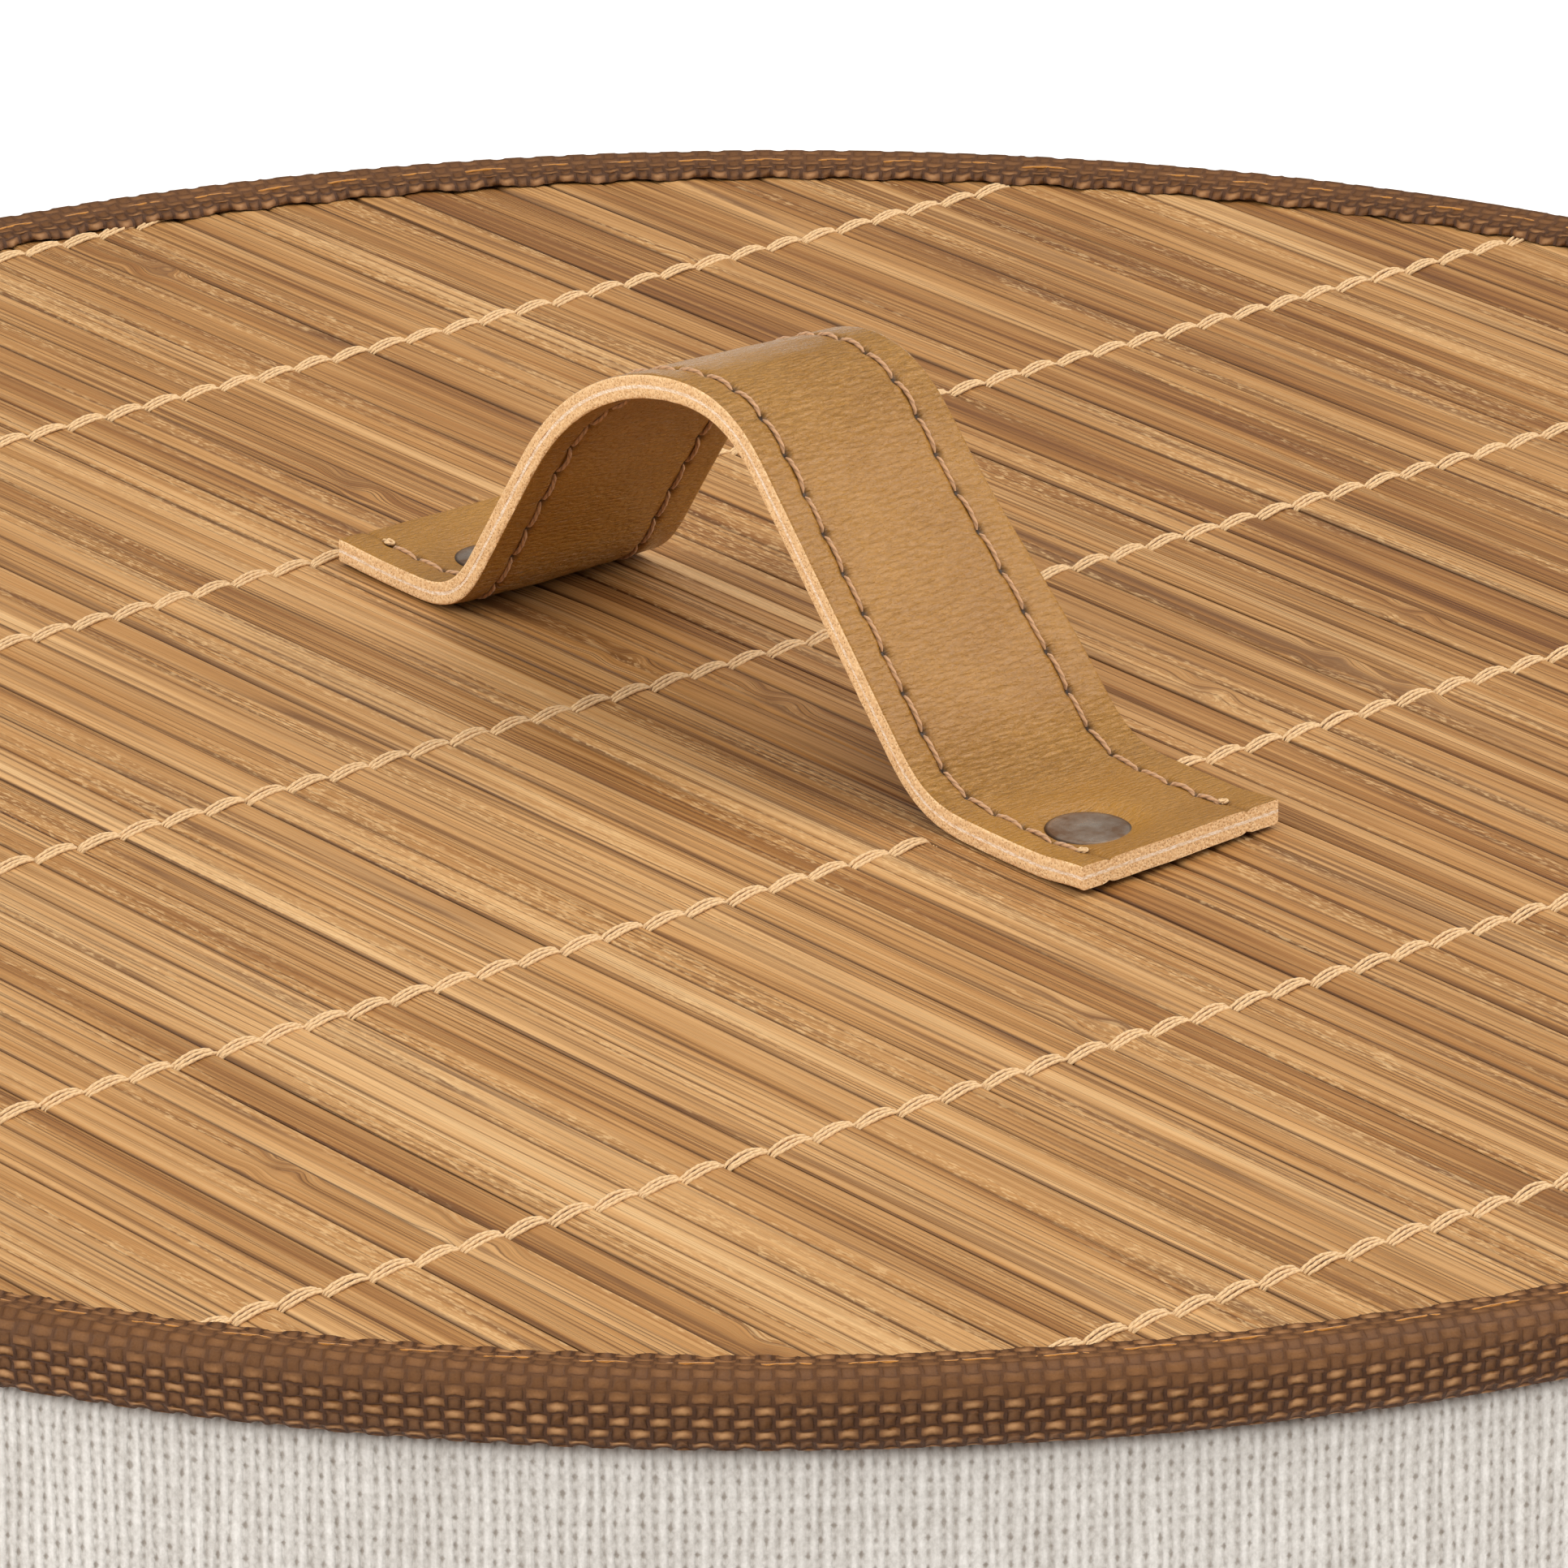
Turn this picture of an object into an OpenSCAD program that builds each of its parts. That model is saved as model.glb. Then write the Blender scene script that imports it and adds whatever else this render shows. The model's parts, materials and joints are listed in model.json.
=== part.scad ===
// Round fabric storage bin with a flat lift-off bamboo lid.
// Millimetres, +Z up. The origin is the centre of the base, on the floor.
// X runs along the thread rows of the bamboo mat and Y along its slats.

/* [Bin] */
// Outer diameter of the fabric wall
wall_d = 336; // [320:2:360]
// Height of the rim above the floor
rim_h = 434; // [380:2:500]
// Thickness of the outer fabric
fabric_t = 0.8; // [0.6:0.1:1]
// Thickness of the stiff sheet inside the wall
stiffener_t = 1.7; // [1.5:0.1:2]
// Thickness of the inner lining
lining_t = 0.45; // [0.35:0.05:0.6]
// Depth of the fabric that is turned over the rim to the inside
facing_h = 29; // [20:1:40]
// Wire thickness of the top and bottom hoops
hoop_d = 4; // [3:0.5:4]
// Thickness of the base board
board_t = 4; // [4:0.5:5]

/* [Lid] */
// Outer diameter of the lid over its edge binding
lid_d = 340; // [336:1:344]
// Visible width of the edge binding on top of the lid
binding_w = 6.8; // [5:0.1:9]
// Thickness of the binding tape
tape_t = 1; // [0.8:0.1:1]
// Height of the binding's crown above the mat
binding_crown = 1.7; // [1.4:0.1:2]
// Thickness of the bamboo slats
slat_t = 1.5; // [1.3:0.1:1.8]
// Distance from one slat to the next
slat_pitch = 4.96; // [4.5:0.01:5.5]
// Gap between two slats
slat_gap = 0.3; // [0.2:0.05:0.5]
// Thickness of the lid's board
lid_board_t = 2.7; // [2.5:0.1:3.5]
// Height of the ring under the lid that centres it in the rim
ring_h = 10; // [8:1:14]

/* [Lid handle] */
// Width of the leather straps
strap_w = 26; // [24:1:30]
// Thickness of the strap, both layers and the core
strap_t = 2.5; // [2.4:0.1:2.8]
// Height of the arch above the mat, to the middle of the strap
crest_h = 33.75; // [30:0.25:38]

/* [Side handles] */
// Height of the middle of the side handles above the floor
side_handle_z = 355; // [300:5:370]

/* [Hidden] */
$fn = 128;

// Clearance between pieces that lie against each other
skin = 0.05;
// Clearance under the lid where it rests on the rim
rest_gap = 0.3;
// Step of the arcs in the strap outlines, in degrees
arc_step = 4;

// Wall, from the outside in
wall_r = wall_d / 2;
stiffener_r = wall_r - fabric_t - skin;
lining_r = stiffener_r - stiffener_t - skin;
interior_r = lining_r - lining_t;
hoop_r = lining_r - hoop_d / 2 - 2 * skin;
facing_r = hoop_r - hoop_d / 2 - skin;
rim_inner_r = facing_r - fabric_t;

// Base, from the floor up
base_flange_w = 9;
base_fabric_z = tape_t;
board_z = base_fabric_z + fabric_t + skin;
hoop_z = board_z + hoop_d / 2;
board_r = hoop_r - hoop_d / 2 - skin;
base_lining_z = board_z + board_t + skin;
base_binding_h = base_lining_z + lining_t + 0.8;
top_hoop_z = rim_h - fabric_t - hoop_d / 2 - skin;

// Lid, from the binding's lower face up to the top of the mat
lid_r = lid_d / 2;
core_r = lid_r - tape_t - 0.2;
lid_z = rim_h + rest_gap;
lid_lining_z = lid_z + tape_t;
lid_lining_t = 0.4;
lid_board_z = lid_lining_z + lid_lining_t;
slat_z = lid_board_z + lid_board_t;
mat_z = slat_z + slat_t;
binding_inner_r = lid_r - binding_w;
slat_w = slat_pitch - slat_gap;
slat_crown = 0.35;
// Place of one gap between two slats, near the middle of the lid
slat_phase = 1.54;
slat_reach = ceil(core_r / slat_pitch) + 1;
thread_rows = [for (k = [0:6]) 159.5 - 50 * k];
thread_w = 1.8;
thread_t = 0.35;
ring_t = 2;
ring_cover_t = 0.4;
ring_r = rim_inner_r - 1 - ring_cover_t;

// Strap layers
strap_core_t = 0.2;
half_strap = strap_t / 2;
half_core = strap_core_t / 2;

// Rivets
rivet_cap_r = 4.35;
rivet_cap_t = 0.8;
rivet_post_r = 1.6;
rivet_bore_r = 1.65;
rivet_seat_r = 4.5;
rivet_seat_depth = 0.5;
rivet_back_t = 0.9;

// Lid handle: its place on the lid and the outline of its side view,
// as [length, turn in degrees] along the middle of the strap
strap_x = -11.3;
foot_front_y = -61;
lid_rivets_xy = [[-2.5, -51.5], [-0.5, 44.8]];
front_slope = 47.5;
rear_slope = 56;
front_foot = 19;
front_bend_r = 11.5;
crest_front_r = 13;
crest_rear_r = 32;
rear_bend_r = 8.7;
rear_foot = 15;
strap_base = half_strap + skin;
rise = crest_h - strap_base;
front_run = (rise - (front_bend_r + crest_front_r) * (1 - cos(front_slope))) / sin(front_slope);
rear_run = (rise - (rear_bend_r + crest_rear_r) * (1 - cos(rear_slope))) / sin(rear_slope);
lid_strap_bends = [
    [front_foot, 0],
    bend(front_bend_r, front_slope),
    [front_run, 0],
    bend(crest_front_r, -front_slope),
    bend(crest_rear_r, -rear_slope),
    [rear_run, 0],
    bend(rear_bend_r, rear_slope),
    [rear_foot, 0]];

// Side handle: its plan outline, which starts and ends along the wall
side_slope = 50;
side_foot_start = 17;
side_foot_turn = 6.2;
side_bend_r = 12;
side_crest_r = 38;
side_foot_r = wall_r + 2 * skin + half_strap;
side_run = (side_foot_r * sin(side_foot_start) - side_crest_r * sin(side_slope)
    - side_bend_r * (sin(side_slope) - sin(side_foot_start))) / cos(side_slope);
side_rivet_turn = side_foot_start + side_foot_turn / 2;
side_strap_bends = [
    bend(side_foot_r, side_foot_turn),
    bend(side_bend_r, side_foot_start - side_slope),
    [side_run, 0],
    bend(side_crest_r, 2 * side_slope),
    [side_run, 0],
    bend(side_bend_r, side_foot_start - side_slope),
    bend(side_foot_r, side_foot_turn)];

// Colours
linen = "#d9d3ca";
lining_grey = "#cfcac2";
brown_tape = "#74502f";
bamboo = "#c79a62";
cream_thread = "#e6c896";
caramel = "#b98c55";
strap_core_white = "#d8d2c8";
bronze = "#7a6a5c";
steel = "#a8abad";
fibreboard = "#a88560";

// One arc of a strap outline as [length along the strap, turn]
function bend(r, turn) = [r * abs(turn) * PI / 180, turn];

// Place reached along an arc, left turns positive
function arc_point(p, heading, length, turn) =
    let (r = length * 180 / (PI * turn))
    [p.x + r * (sin(heading + turn) - sin(heading)),
     p.y - r * (cos(heading + turn) - cos(heading))];

// Points [x, y, heading] along one segment, without its end
function segment_points(p, heading, seg) =
    seg[1] == 0 ? [[p.x, p.y, heading]] :
    let (steps = ceil(abs(seg[1]) / arc_step))
    [for (i = [0:steps - 1])
        let (q = i == 0 ? p : arc_point(p, heading, seg[0] * i / steps, seg[1] * i / steps))
        [q.x, q.y, heading + seg[1] * i / steps]];

function segment_end(p, heading, seg) =
    seg[1] == 0 ? [p.x + seg[0] * cos(heading), p.y + seg[0] * sin(heading)]
                : arc_point(p, heading, seg[0], seg[1]);

// Points along a chain of straight and round segments
function walk(segs, p, heading, i = 0) =
    i == len(segs) ? [[p.x, p.y, heading]] :
    concat(segment_points(p, heading, segs[i]),
           walk(segs, segment_end(p, heading, segs[i]), heading + segs[i][1], i + 1));

function offset_point(q, d) = [q.x - d * sin(q[2]), q.y + d * cos(q[2])];

// Outline of a strip between two distances to the left of a path
function strip(path, low, high) =
    concat([for (q = path) offset_point(q, low)],
           [for (i = [len(path) - 1:-1:0]) offset_point(path[i], high)]);

// Points of an arc, for outlines that are turned
function arc(c, r, a0, a1, n = 12) =
    [for (i = [0:n]) let (a = a0 + (a1 - a0) * i / n) [c.x + r * cos(a), c.y + r * sin(a)]];

module ring_of(r_out, r_in, h) {
    rotate_extrude()
        translate([r_in, 0])
            square([r_out - r_in, h]);
}

module hoop(r) {
    rotate_extrude()
        translate([r, 0])
            circle(d = hoop_d, $fn = 32);
}

// Places children at the four side rivets, their Z pointing outwards
module at_side_rivets() {
    for (side = [0, 180], s = [-1, 1])
        rotate([0, 0, side + s * side_rivet_turn])
            translate([0, 0, side_handle_z])
                rotate([0, 90, 0])
                    children();
}

// Places children at the two lid rivets, at the top of the mat
module at_lid_rivets() {
    for (p = lid_rivets_xy)
        translate([p.x, p.y, mat_z])
            children();
}

module side_rivet_bores() {
    at_side_rivets()
        translate([0, 0, interior_r - 5])
            cylinder(r = rivet_bore_r, h = wall_r - interior_r + strap_t + 10, $fn = 48);
}

module lid_rivet_bores() {
    at_lid_rivets()
        translate([0, 0, -12])
            cylinder(r = rivet_bore_r, h = 16, $fn = 48);
}

// Bin

module outer_fabric() {
    outline = concat(
        [[wall_r, board_z]],
        arc([wall_r - fabric_t, rim_h - fabric_t], fabric_t, 0, 90, 6),
        arc([hoop_r, top_hoop_z], rim_h - top_hoop_z, 90, 180),
        [[rim_inner_r, rim_h - facing_h], [facing_r, rim_h - facing_h]],
        arc([hoop_r, top_hoop_z], hoop_r - facing_r, 180, 90),
        [[wall_r - fabric_t, top_hoop_z + hoop_r - facing_r], [wall_r - fabric_t, board_z]]);
    color(linen)
        difference() {
            rotate_extrude() polygon(outline);
            side_rivet_bores();
        }
}

module wall_stiffener() {
    color(fibreboard)
        difference() {
            translate([0, 0, board_z])
                ring_of(stiffener_r, stiffener_r - stiffener_t,
                        top_hoop_z + hoop_r - facing_r - skin - board_z);
            side_rivet_bores();
        }
}

module inner_lining() {
    color(lining_grey)
        difference() {
            translate([0, 0, board_z])
                ring_of(lining_r, interior_r, top_hoop_z - hoop_d / 2 - skin - board_z);
            side_rivet_bores();
        }
}

module top_hoop() {
    color(steel)
        translate([0, 0, top_hoop_z])
            hoop(hoop_r);
}

module bottom_hoop() {
    color(steel)
        translate([0, 0, hoop_z])
            hoop(hoop_r - lining_t);
}

module base_fabric() {
    color(linen)
        translate([0, 0, base_fabric_z])
            cylinder(r = wall_r - skin, h = fabric_t);
}

module base_board() {
    color(fibreboard)
        translate([0, 0, board_z])
            cylinder(r = board_r - lining_t, h = board_t);
}

module base_lining() {
    color(lining_grey)
        translate([0, 0, base_lining_z])
            cylinder(r = interior_r - skin, h = lining_t);
}

// Tape folded round the bottom edge: a band on the wall and a flange on the floor
module base_binding() {
    outer_r = wall_r + skin + tape_t;
    outline = concat(
        [[outer_r - base_flange_w, 0]],
        arc([outer_r - tape_t, tape_t], tape_t, -90, 0, 8),
        [[outer_r, base_binding_h], [outer_r - tape_t, base_binding_h],
         [outer_r - tape_t, tape_t - skin], [outer_r - base_flange_w, tape_t - skin]]);
    color(brown_tape)
        rotate_extrude() polygon(outline);
}

// Side handles

module side_strap_layer(side, low, high) {
    start_turn = side_foot_start + side_foot_turn;
    start = [side_foot_r * cos(start_turn), -side_foot_r * sin(start_turn)];
    path = walk(side_strap_bends, start, 90 - start_turn);
    difference() {
        rotate([0, 0, side])
            translate([0, 0, side_handle_z - strap_w / 2])
                linear_extrude(strap_w)
                    polygon(strip(path, low, high));
        side_rivet_bores();
        at_side_rivets()
            translate([0, 0, side_foot_r + half_strap - rivet_seat_depth])
                cylinder(r = rivet_seat_r, h = 10, $fn = 48);
    }
}

module left_handle_outer_layer() {
    color(caramel) side_strap_layer(180, -half_strap, -half_core);
}

module left_handle_core() {
    color(strap_core_white) side_strap_layer(180, -half_core, half_core);
}

module left_handle_inner_layer() {
    color(caramel) side_strap_layer(180, half_core, half_strap);
}

module right_handle_outer_layer() {
    color(caramel) side_strap_layer(0, -half_strap, -half_core);
}

module right_handle_core() {
    color(strap_core_white) side_strap_layer(0, -half_core, half_core);
}

module right_handle_inner_layer() {
    color(caramel) side_strap_layer(0, half_core, half_strap);
}

// A flat cap on a post, from the cap's underside at z = 0 down to -length
module rivet(length) {
    rotate_extrude()
        polygon(concat(
            [[0, -length], [rivet_post_r, -length], [rivet_post_r, 0], [rivet_cap_r, 0]],
            arc([rivet_cap_r - 0.4, rivet_cap_t - 0.4], 0.4, 0, 90, 5),
            [[0, rivet_cap_t]]));
}

// The cap on the far side, with a blind socket for the post
module rivet_back(socket) {
    difference() {
        cylinder(r = rivet_cap_r, h = rivet_back_t, $fn = 48);
        translate([0, 0, rivet_back_t - socket])
            cylinder(r = rivet_bore_r, h = socket + 1, $fn = 48);
    }
}

module side_rivets() {
    cap_r = side_foot_r + half_strap - rivet_seat_depth;
    color(bronze)
        at_side_rivets()
            translate([0, 0, cap_r])
                rivet(cap_r - interior_r + 0.5);
}

module side_rivet_backs() {
    color(bronze)
        at_side_rivets()
            translate([0, 0, interior_r - skin - rivet_back_t])
                rivet_back(0.5);
}

// Lid

module lid_board() {
    color(fibreboard)
        difference() {
            translate([0, 0, lid_board_z])
                cylinder(r = core_r, h = lid_board_t);
            lid_rivet_bores();
        }
}

// One slat with a crowned top, its top at z = 0
module slat() {
    n = 8;
    crown = [for (i = [0:n])
        let (u = 2 * i / n - 1)
        [-u * slat_w / 2, -slat_crown * pow(abs(u), 3)]];
    rotate([90, 0, 0])
        linear_extrude(2 * core_r, center = true)
            polygon(concat([[-slat_w / 2, -slat_t + skin], [slat_w / 2, -slat_t + skin]], crown));
}

module lid_slats() {
    color(bamboo)
        difference() {
            intersection() {
                for (i = [-slat_reach:slat_reach])
                    translate([slat_phase + slat_pitch * (i + 0.5), 0, mat_z])
                        slat();
                translate([0, 0, slat_z])
                    cylinder(r = core_r, h = slat_t + 1);
            }
            lid_rivet_bores();
        }
}

// Rows of thread that lace the slats together, broken where the strap's feet press on them
module lid_mat_threads() {
    color(cream_thread)
        difference() {
            for (y = thread_rows) {
                reach = sqrt(pow(binding_inner_r - 0.3, 2) - pow(abs(y) + thread_w / 2, 2));
                translate([-reach, y - thread_w / 2, mat_z])
                    cube([2 * reach, thread_w, thread_t]);
            }
            translate([strap_x - 0.5, foot_front_y - 1, mat_z - 1])
                cube([strap_w + 1, front_foot + 6, 3]);
        }
}

module lid_lining() {
    color(lining_grey)
        difference() {
            translate([0, 0, lid_lining_z])
                cylinder(r = core_r, h = lid_lining_t);
            lid_rivet_bores();
        }
}

// Tape folded round the lid's edge, over the mat and under the lining
module lid_binding() {
    outline = concat(
        [[binding_inner_r, lid_z]],
        arc([lid_r - 1.4, lid_z + 1.4], 1.4, -90, 0, 8),
        arc([lid_r - 1.5, mat_z + binding_crown - 1.5], 1.5, 0, 90, 8),
        [[binding_inner_r + 0.9, mat_z + 1.3],
         [binding_inner_r, mat_z + 0.9],
         [binding_inner_r, mat_z + skin],
         [core_r + skin, mat_z + skin],
         [core_r + skin, lid_lining_z - skin],
         [binding_inner_r, lid_lining_z - skin]]);
    color(brown_tape)
        rotate_extrude() polygon(outline);
}

module lid_locating_ring() {
    color(fibreboard)
        translate([0, 0, lid_lining_z - skin - ring_h])
            ring_of(ring_r, ring_r - ring_t, ring_h);
}

// Fabric folded round the lower edge of the locating ring
module locating_ring_cover() {
    depth = ring_h + skin + ring_cover_t;
    color(lining_grey)
        difference() {
            translate([0, 0, lid_lining_z - skin - depth])
                ring_of(ring_r + ring_cover_t, ring_r - ring_t - ring_cover_t, depth);
            translate([0, 0, lid_lining_z - 2 * skin - ring_h])
                ring_of(ring_r + skin, ring_r - ring_t - skin, ring_h + 1);
        }
}

module lid_strap_layer(low, high) {
    path = walk(lid_strap_bends, [foot_front_y, strap_base], 0);
    difference() {
        translate([strap_x, 0, mat_z])
            rotate([90, 0, 90])
                linear_extrude(strap_w)
                    polygon(strip(path, low, high));
        lid_rivet_bores();
        at_lid_rivets()
            translate([0, 0, skin + strap_t - rivet_seat_depth])
                cylinder(r = rivet_seat_r, h = 4, $fn = 48);
    }
}

module lid_handle_top_layer() {
    color(caramel) lid_strap_layer(half_core, half_strap);
}

module lid_handle_core() {
    color(strap_core_white) lid_strap_layer(-half_core, half_core);
}

module lid_handle_bottom_layer() {
    color(caramel) lid_strap_layer(-half_strap, -half_core);
}

module lid_rivets() {
    cap_z = skin + strap_t - rivet_seat_depth;
    back_z = lid_lining_z - mat_z;
    color(bronze)
        at_lid_rivets()
            translate([0, 0, cap_z])
                rivet(cap_z - back_z + 0.5);
}

module lid_rivet_backs() {
    color(bronze)
        at_lid_rivets()
            translate([0, 0, lid_lining_z - mat_z - skin - rivet_back_t])
                rivet_back(0.5);
}

outer_fabric();
wall_stiffener();
inner_lining();
top_hoop();
bottom_hoop();
base_fabric();
base_board();
base_lining();
base_binding();
left_handle_outer_layer();
left_handle_core();
left_handle_inner_layer();
right_handle_outer_layer();
right_handle_core();
right_handle_inner_layer();
side_rivets();
side_rivet_backs();
lid_board();
lid_slats();
lid_mat_threads();
lid_lining();
lid_binding();
lid_locating_ring();
locating_ring_cover();
lid_handle_top_layer();
lid_handle_core();
lid_handle_bottom_layer();
lid_rivets();
lid_rivet_backs();
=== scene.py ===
import json
import math

import bmesh
import bpy
import numpy as np
from mathutils import Matrix, Vector


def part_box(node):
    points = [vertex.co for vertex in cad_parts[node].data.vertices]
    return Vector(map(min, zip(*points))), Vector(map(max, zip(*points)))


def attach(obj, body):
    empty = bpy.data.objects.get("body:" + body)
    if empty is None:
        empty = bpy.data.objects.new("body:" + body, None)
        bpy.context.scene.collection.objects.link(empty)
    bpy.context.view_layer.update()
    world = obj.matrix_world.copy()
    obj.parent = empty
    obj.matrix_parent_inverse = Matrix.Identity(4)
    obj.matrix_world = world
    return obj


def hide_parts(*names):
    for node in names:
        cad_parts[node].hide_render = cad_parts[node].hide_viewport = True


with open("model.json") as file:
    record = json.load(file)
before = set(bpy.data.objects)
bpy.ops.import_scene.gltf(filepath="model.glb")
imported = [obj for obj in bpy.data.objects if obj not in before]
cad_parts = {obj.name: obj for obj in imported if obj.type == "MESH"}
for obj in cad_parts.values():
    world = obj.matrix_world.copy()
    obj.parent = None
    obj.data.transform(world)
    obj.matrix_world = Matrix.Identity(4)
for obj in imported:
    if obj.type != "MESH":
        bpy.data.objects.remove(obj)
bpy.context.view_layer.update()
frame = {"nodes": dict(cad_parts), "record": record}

# Lengths in this script are in millimetres, as in the CAD source, and become metres in make_piece().
MM = 0.001
TURN = 2 * math.pi


def low(node):
    return np.array(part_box(node)[0]) / MM


def high(node):
    return np.array(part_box(node)[1]) / MM


# Sizes that come from the frame
MAT_Z = high("lid_slats")[2]
SLAT_BASE_Z = low("lid_slats")[2]
CORE_R = high("lid_board")[0]
LID_Z = low("lid_binding")[2]
LID_TOP_Z = high("lid_binding")[2]
LINING_Z = low("lid_lining")[2]
WALL_R = high("outer_fabric")[0]
WALL_BASE_Z = low("outer_fabric")[2]
RIM_Z = high("outer_fabric")[2]
LINING_TOP_Z = high("inner_lining")[2]
HOOP_Z = (low("top_hoop")[2] + high("top_hoop")[2]) / 2
BASE_TAPE_R = high("base_binding")[0]
BASE_TAPE_H = high("base_binding")[2]
BASE_LINING_Z = low("base_lining")[2]
BASE_FABRIC_Z = low("base_fabric")[2]
RING_R = high("lid_locating_ring")[0]
RING_LOW_Z = low("lid_locating_ring")[2]
SIDE_HANDLE_Z = (low("right_handle_core")[2] + high("right_handle_core")[2]) / 2
STRAP_X = low("lid_handle_core")[0]
STRAP_FRONT_Y = low("lid_handle_core")[1]
STRAP_TOP_Z = high("lid_handle_core")[2]

# Sizes that the frame's boxes don't give
LID_R = 170.0
BINDING_W = 6.8
SLAT_PITCH = 4.96
SLAT_PHASE = 1.54
THREAD_ROWS = [159.5 - 50 * k for k in range(7)]
STRAP_W = 26.0
STRAP_T = 2.5
SKIN = 0.05
LID_RIVETS = [(-2.5, -51.5), (-0.5, 44.8)]
RIVET_SINK = 0.68
SIDE_FOOT_START = 17.0
SIDE_FOOT_TURN = 6.2
FABRIC_T = 0.8
LINING_T = 0.45
HOOP_R = high("top_hoop")[0] - 2.0
INTERIOR_R = high("inner_lining")[0] - LINING_T
FACING_DEPTH = 29.0
BACK_SEAM = math.radians(141.5)
EDGE_STITCHES = 132


# ---------------------------------------------------------------- camera

def make_camera():
    """The photo's view: a long lens, looking down along a line between the slats and the thread rows."""
    azimuth = math.radians(-38.504)
    elevation = math.radians(21.133)
    roll = math.radians(-0.165)
    distance = 1123.3
    target = Vector((-14.9, -20.3, MAT_Z))
    back = Vector((math.sin(azimuth) * math.cos(elevation),
                   -math.cos(azimuth) * math.cos(elevation),
                   math.sin(elevation)))
    right = Vector((0, 0, 1)).cross(back).normalized()
    up = back.cross(right)
    x_axis = math.cos(roll) * right + math.sin(roll) * up
    y_axis = math.cos(roll) * up - math.sin(roll) * right
    data = bpy.data.cameras.new("camera")
    data.sensor_width = 36
    data.lens = 265.8
    data.clip_end = 100
    camera = bpy.data.objects.new("camera", data)
    bpy.context.scene.collection.objects.link(camera)
    turned = Matrix((x_axis, y_axis, back)).transposed().to_4x4()
    camera.matrix_world = Matrix.Translation((target + back * distance) * MM) @ turned
    bpy.context.scene.camera = camera


# ---------------------------------------------------------------- materials

class Value:
    """A number or colour worked out by a shader. Arithmetic on it adds math nodes."""

    def __init__(self, shader, socket):
        self.shader = shader
        self.socket = socket

    def __add__(self, other):
        return self.shader.math("ADD", self, other)

    def __sub__(self, other):
        return self.shader.math("SUBTRACT", self, other)

    def __rsub__(self, other):
        return self.shader.math("SUBTRACT", other, self)

    def __mul__(self, other):
        return self.shader.math("MULTIPLY", self, other)

    def __truediv__(self, other):
        return self.shader.math("DIVIDE", self, other)

    def clamp(self):
        self.socket.node.use_clamp = True
        return self


class Shader:
    """A procedural material: short calls that add nodes and return what they give."""

    def __init__(self, name, **sockets):
        self.material = bpy.data.materials.new(name)
        self.material.use_nodes = True
        self.tree = self.material.node_tree
        for socket, value in sockets.items():
            self.surface(socket.replace("_", " "), value)

    def surface(self, socket, value):
        self.set(self.tree.nodes["Principled BSDF"].inputs[socket], value)

    def set(self, socket, value):
        if isinstance(value, Value):
            self.tree.links.new(value.socket, socket)
        else:
            socket.default_value = value

    def node(self, kind, inputs, output=0, **settings):
        node = self.tree.nodes.new(kind)
        for key, value in settings.items():
            setattr(node, key, value)
        for key, value in inputs.items():
            self.set(node.inputs[key], value)
        return Value(self, node.outputs[output])

    def attribute(self, name, output="Fac"):
        return self.node("ShaderNodeAttribute", {}, output, attribute_name=name)

    def place(self, scale=(1, 1, 1)):
        """The object's own coordinates in millimetres, stretched by scale."""
        coordinates = self.node("ShaderNodeTexCoord", {}, "Object")
        return self.stretch(coordinates, [s / MM for s in scale])

    def stretch(self, vector, scale):
        return self.node("ShaderNodeMapping", {"Vector": vector, "Scale": scale})

    def noise(self, vector, scale, detail=2.0, roughness=0.5, distortion=0.0):
        """Cloudy noise. scale is how many features fit in a millimetre, for all ways or for each."""
        if hasattr(scale, "__len__"):
            vector, scale = self.stretch(vector, scale), 1.0
        return self.node("ShaderNodeTexNoise", {
            "Vector": vector, "Scale": scale, "Detail": detail,
            "Roughness": roughness, "Distortion": distortion}, "Fac")

    def cells(self, vector, scale):
        return self.node("ShaderNodeTexVoronoi", {"Vector": vector, "Scale": scale}, "Distance")

    def ramp(self, value, *stops):
        """Greys or colours that change from stop to stop, each a (value, colour) pair."""
        ramp = self.node("ShaderNodeValToRGB", {"Fac": value})
        elements = ramp.socket.node.color_ramp.elements
        while len(elements) < len(stops):
            elements.new(1.0)
        for element, (position, colour) in zip(elements, stops):
            element.position = position
            element.color = (*(colour if hasattr(colour, "__len__") else 3 * [colour]), 1)
        return ramp

    def math(self, operation, a, b=0.0):
        return self.node("ShaderNodeMath", {0: a, 1: b}, operation=operation)

    def mix(self, share, a, b, blend="MIX"):
        a, b = ((*v, 1) if isinstance(v, tuple) else v for v in (a, b))
        return self.node("ShaderNodeMix", {0: share, 6: a, 7: b}, 2, data_type="RGBA", blend_type=blend)

    def darken(self, share, colour, grey):
        """Multiplies a colour by a grey, as much as share says."""
        return self.mix(share, colour, grey, "MULTIPLY")

    def split(self, vector):
        first = self.node("ShaderNodeSeparateXYZ", {"Vector": vector})
        return [Value(self, socket) for socket in first.socket.node.outputs]

    def bump(self, height, distance, strength=1.0):
        self.surface("Normal", self.node("ShaderNodeBump", {
            "Height": height, "Distance": distance * MM, "Strength": strength}))

    def colour(self, value):
        self.surface("Base Color", value)

    def rough(self, value):
        self.surface("Roughness", value)


def rgb(r, g, b):
    """A colour as it looks on a screen, 0 to 255, in the linear values that shaders take."""
    return tuple((c / 255 / 12.92) if c <= 10 else ((c / 255 + 0.055) / 1.055) ** 2.4 for c in (r, g, b))


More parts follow.
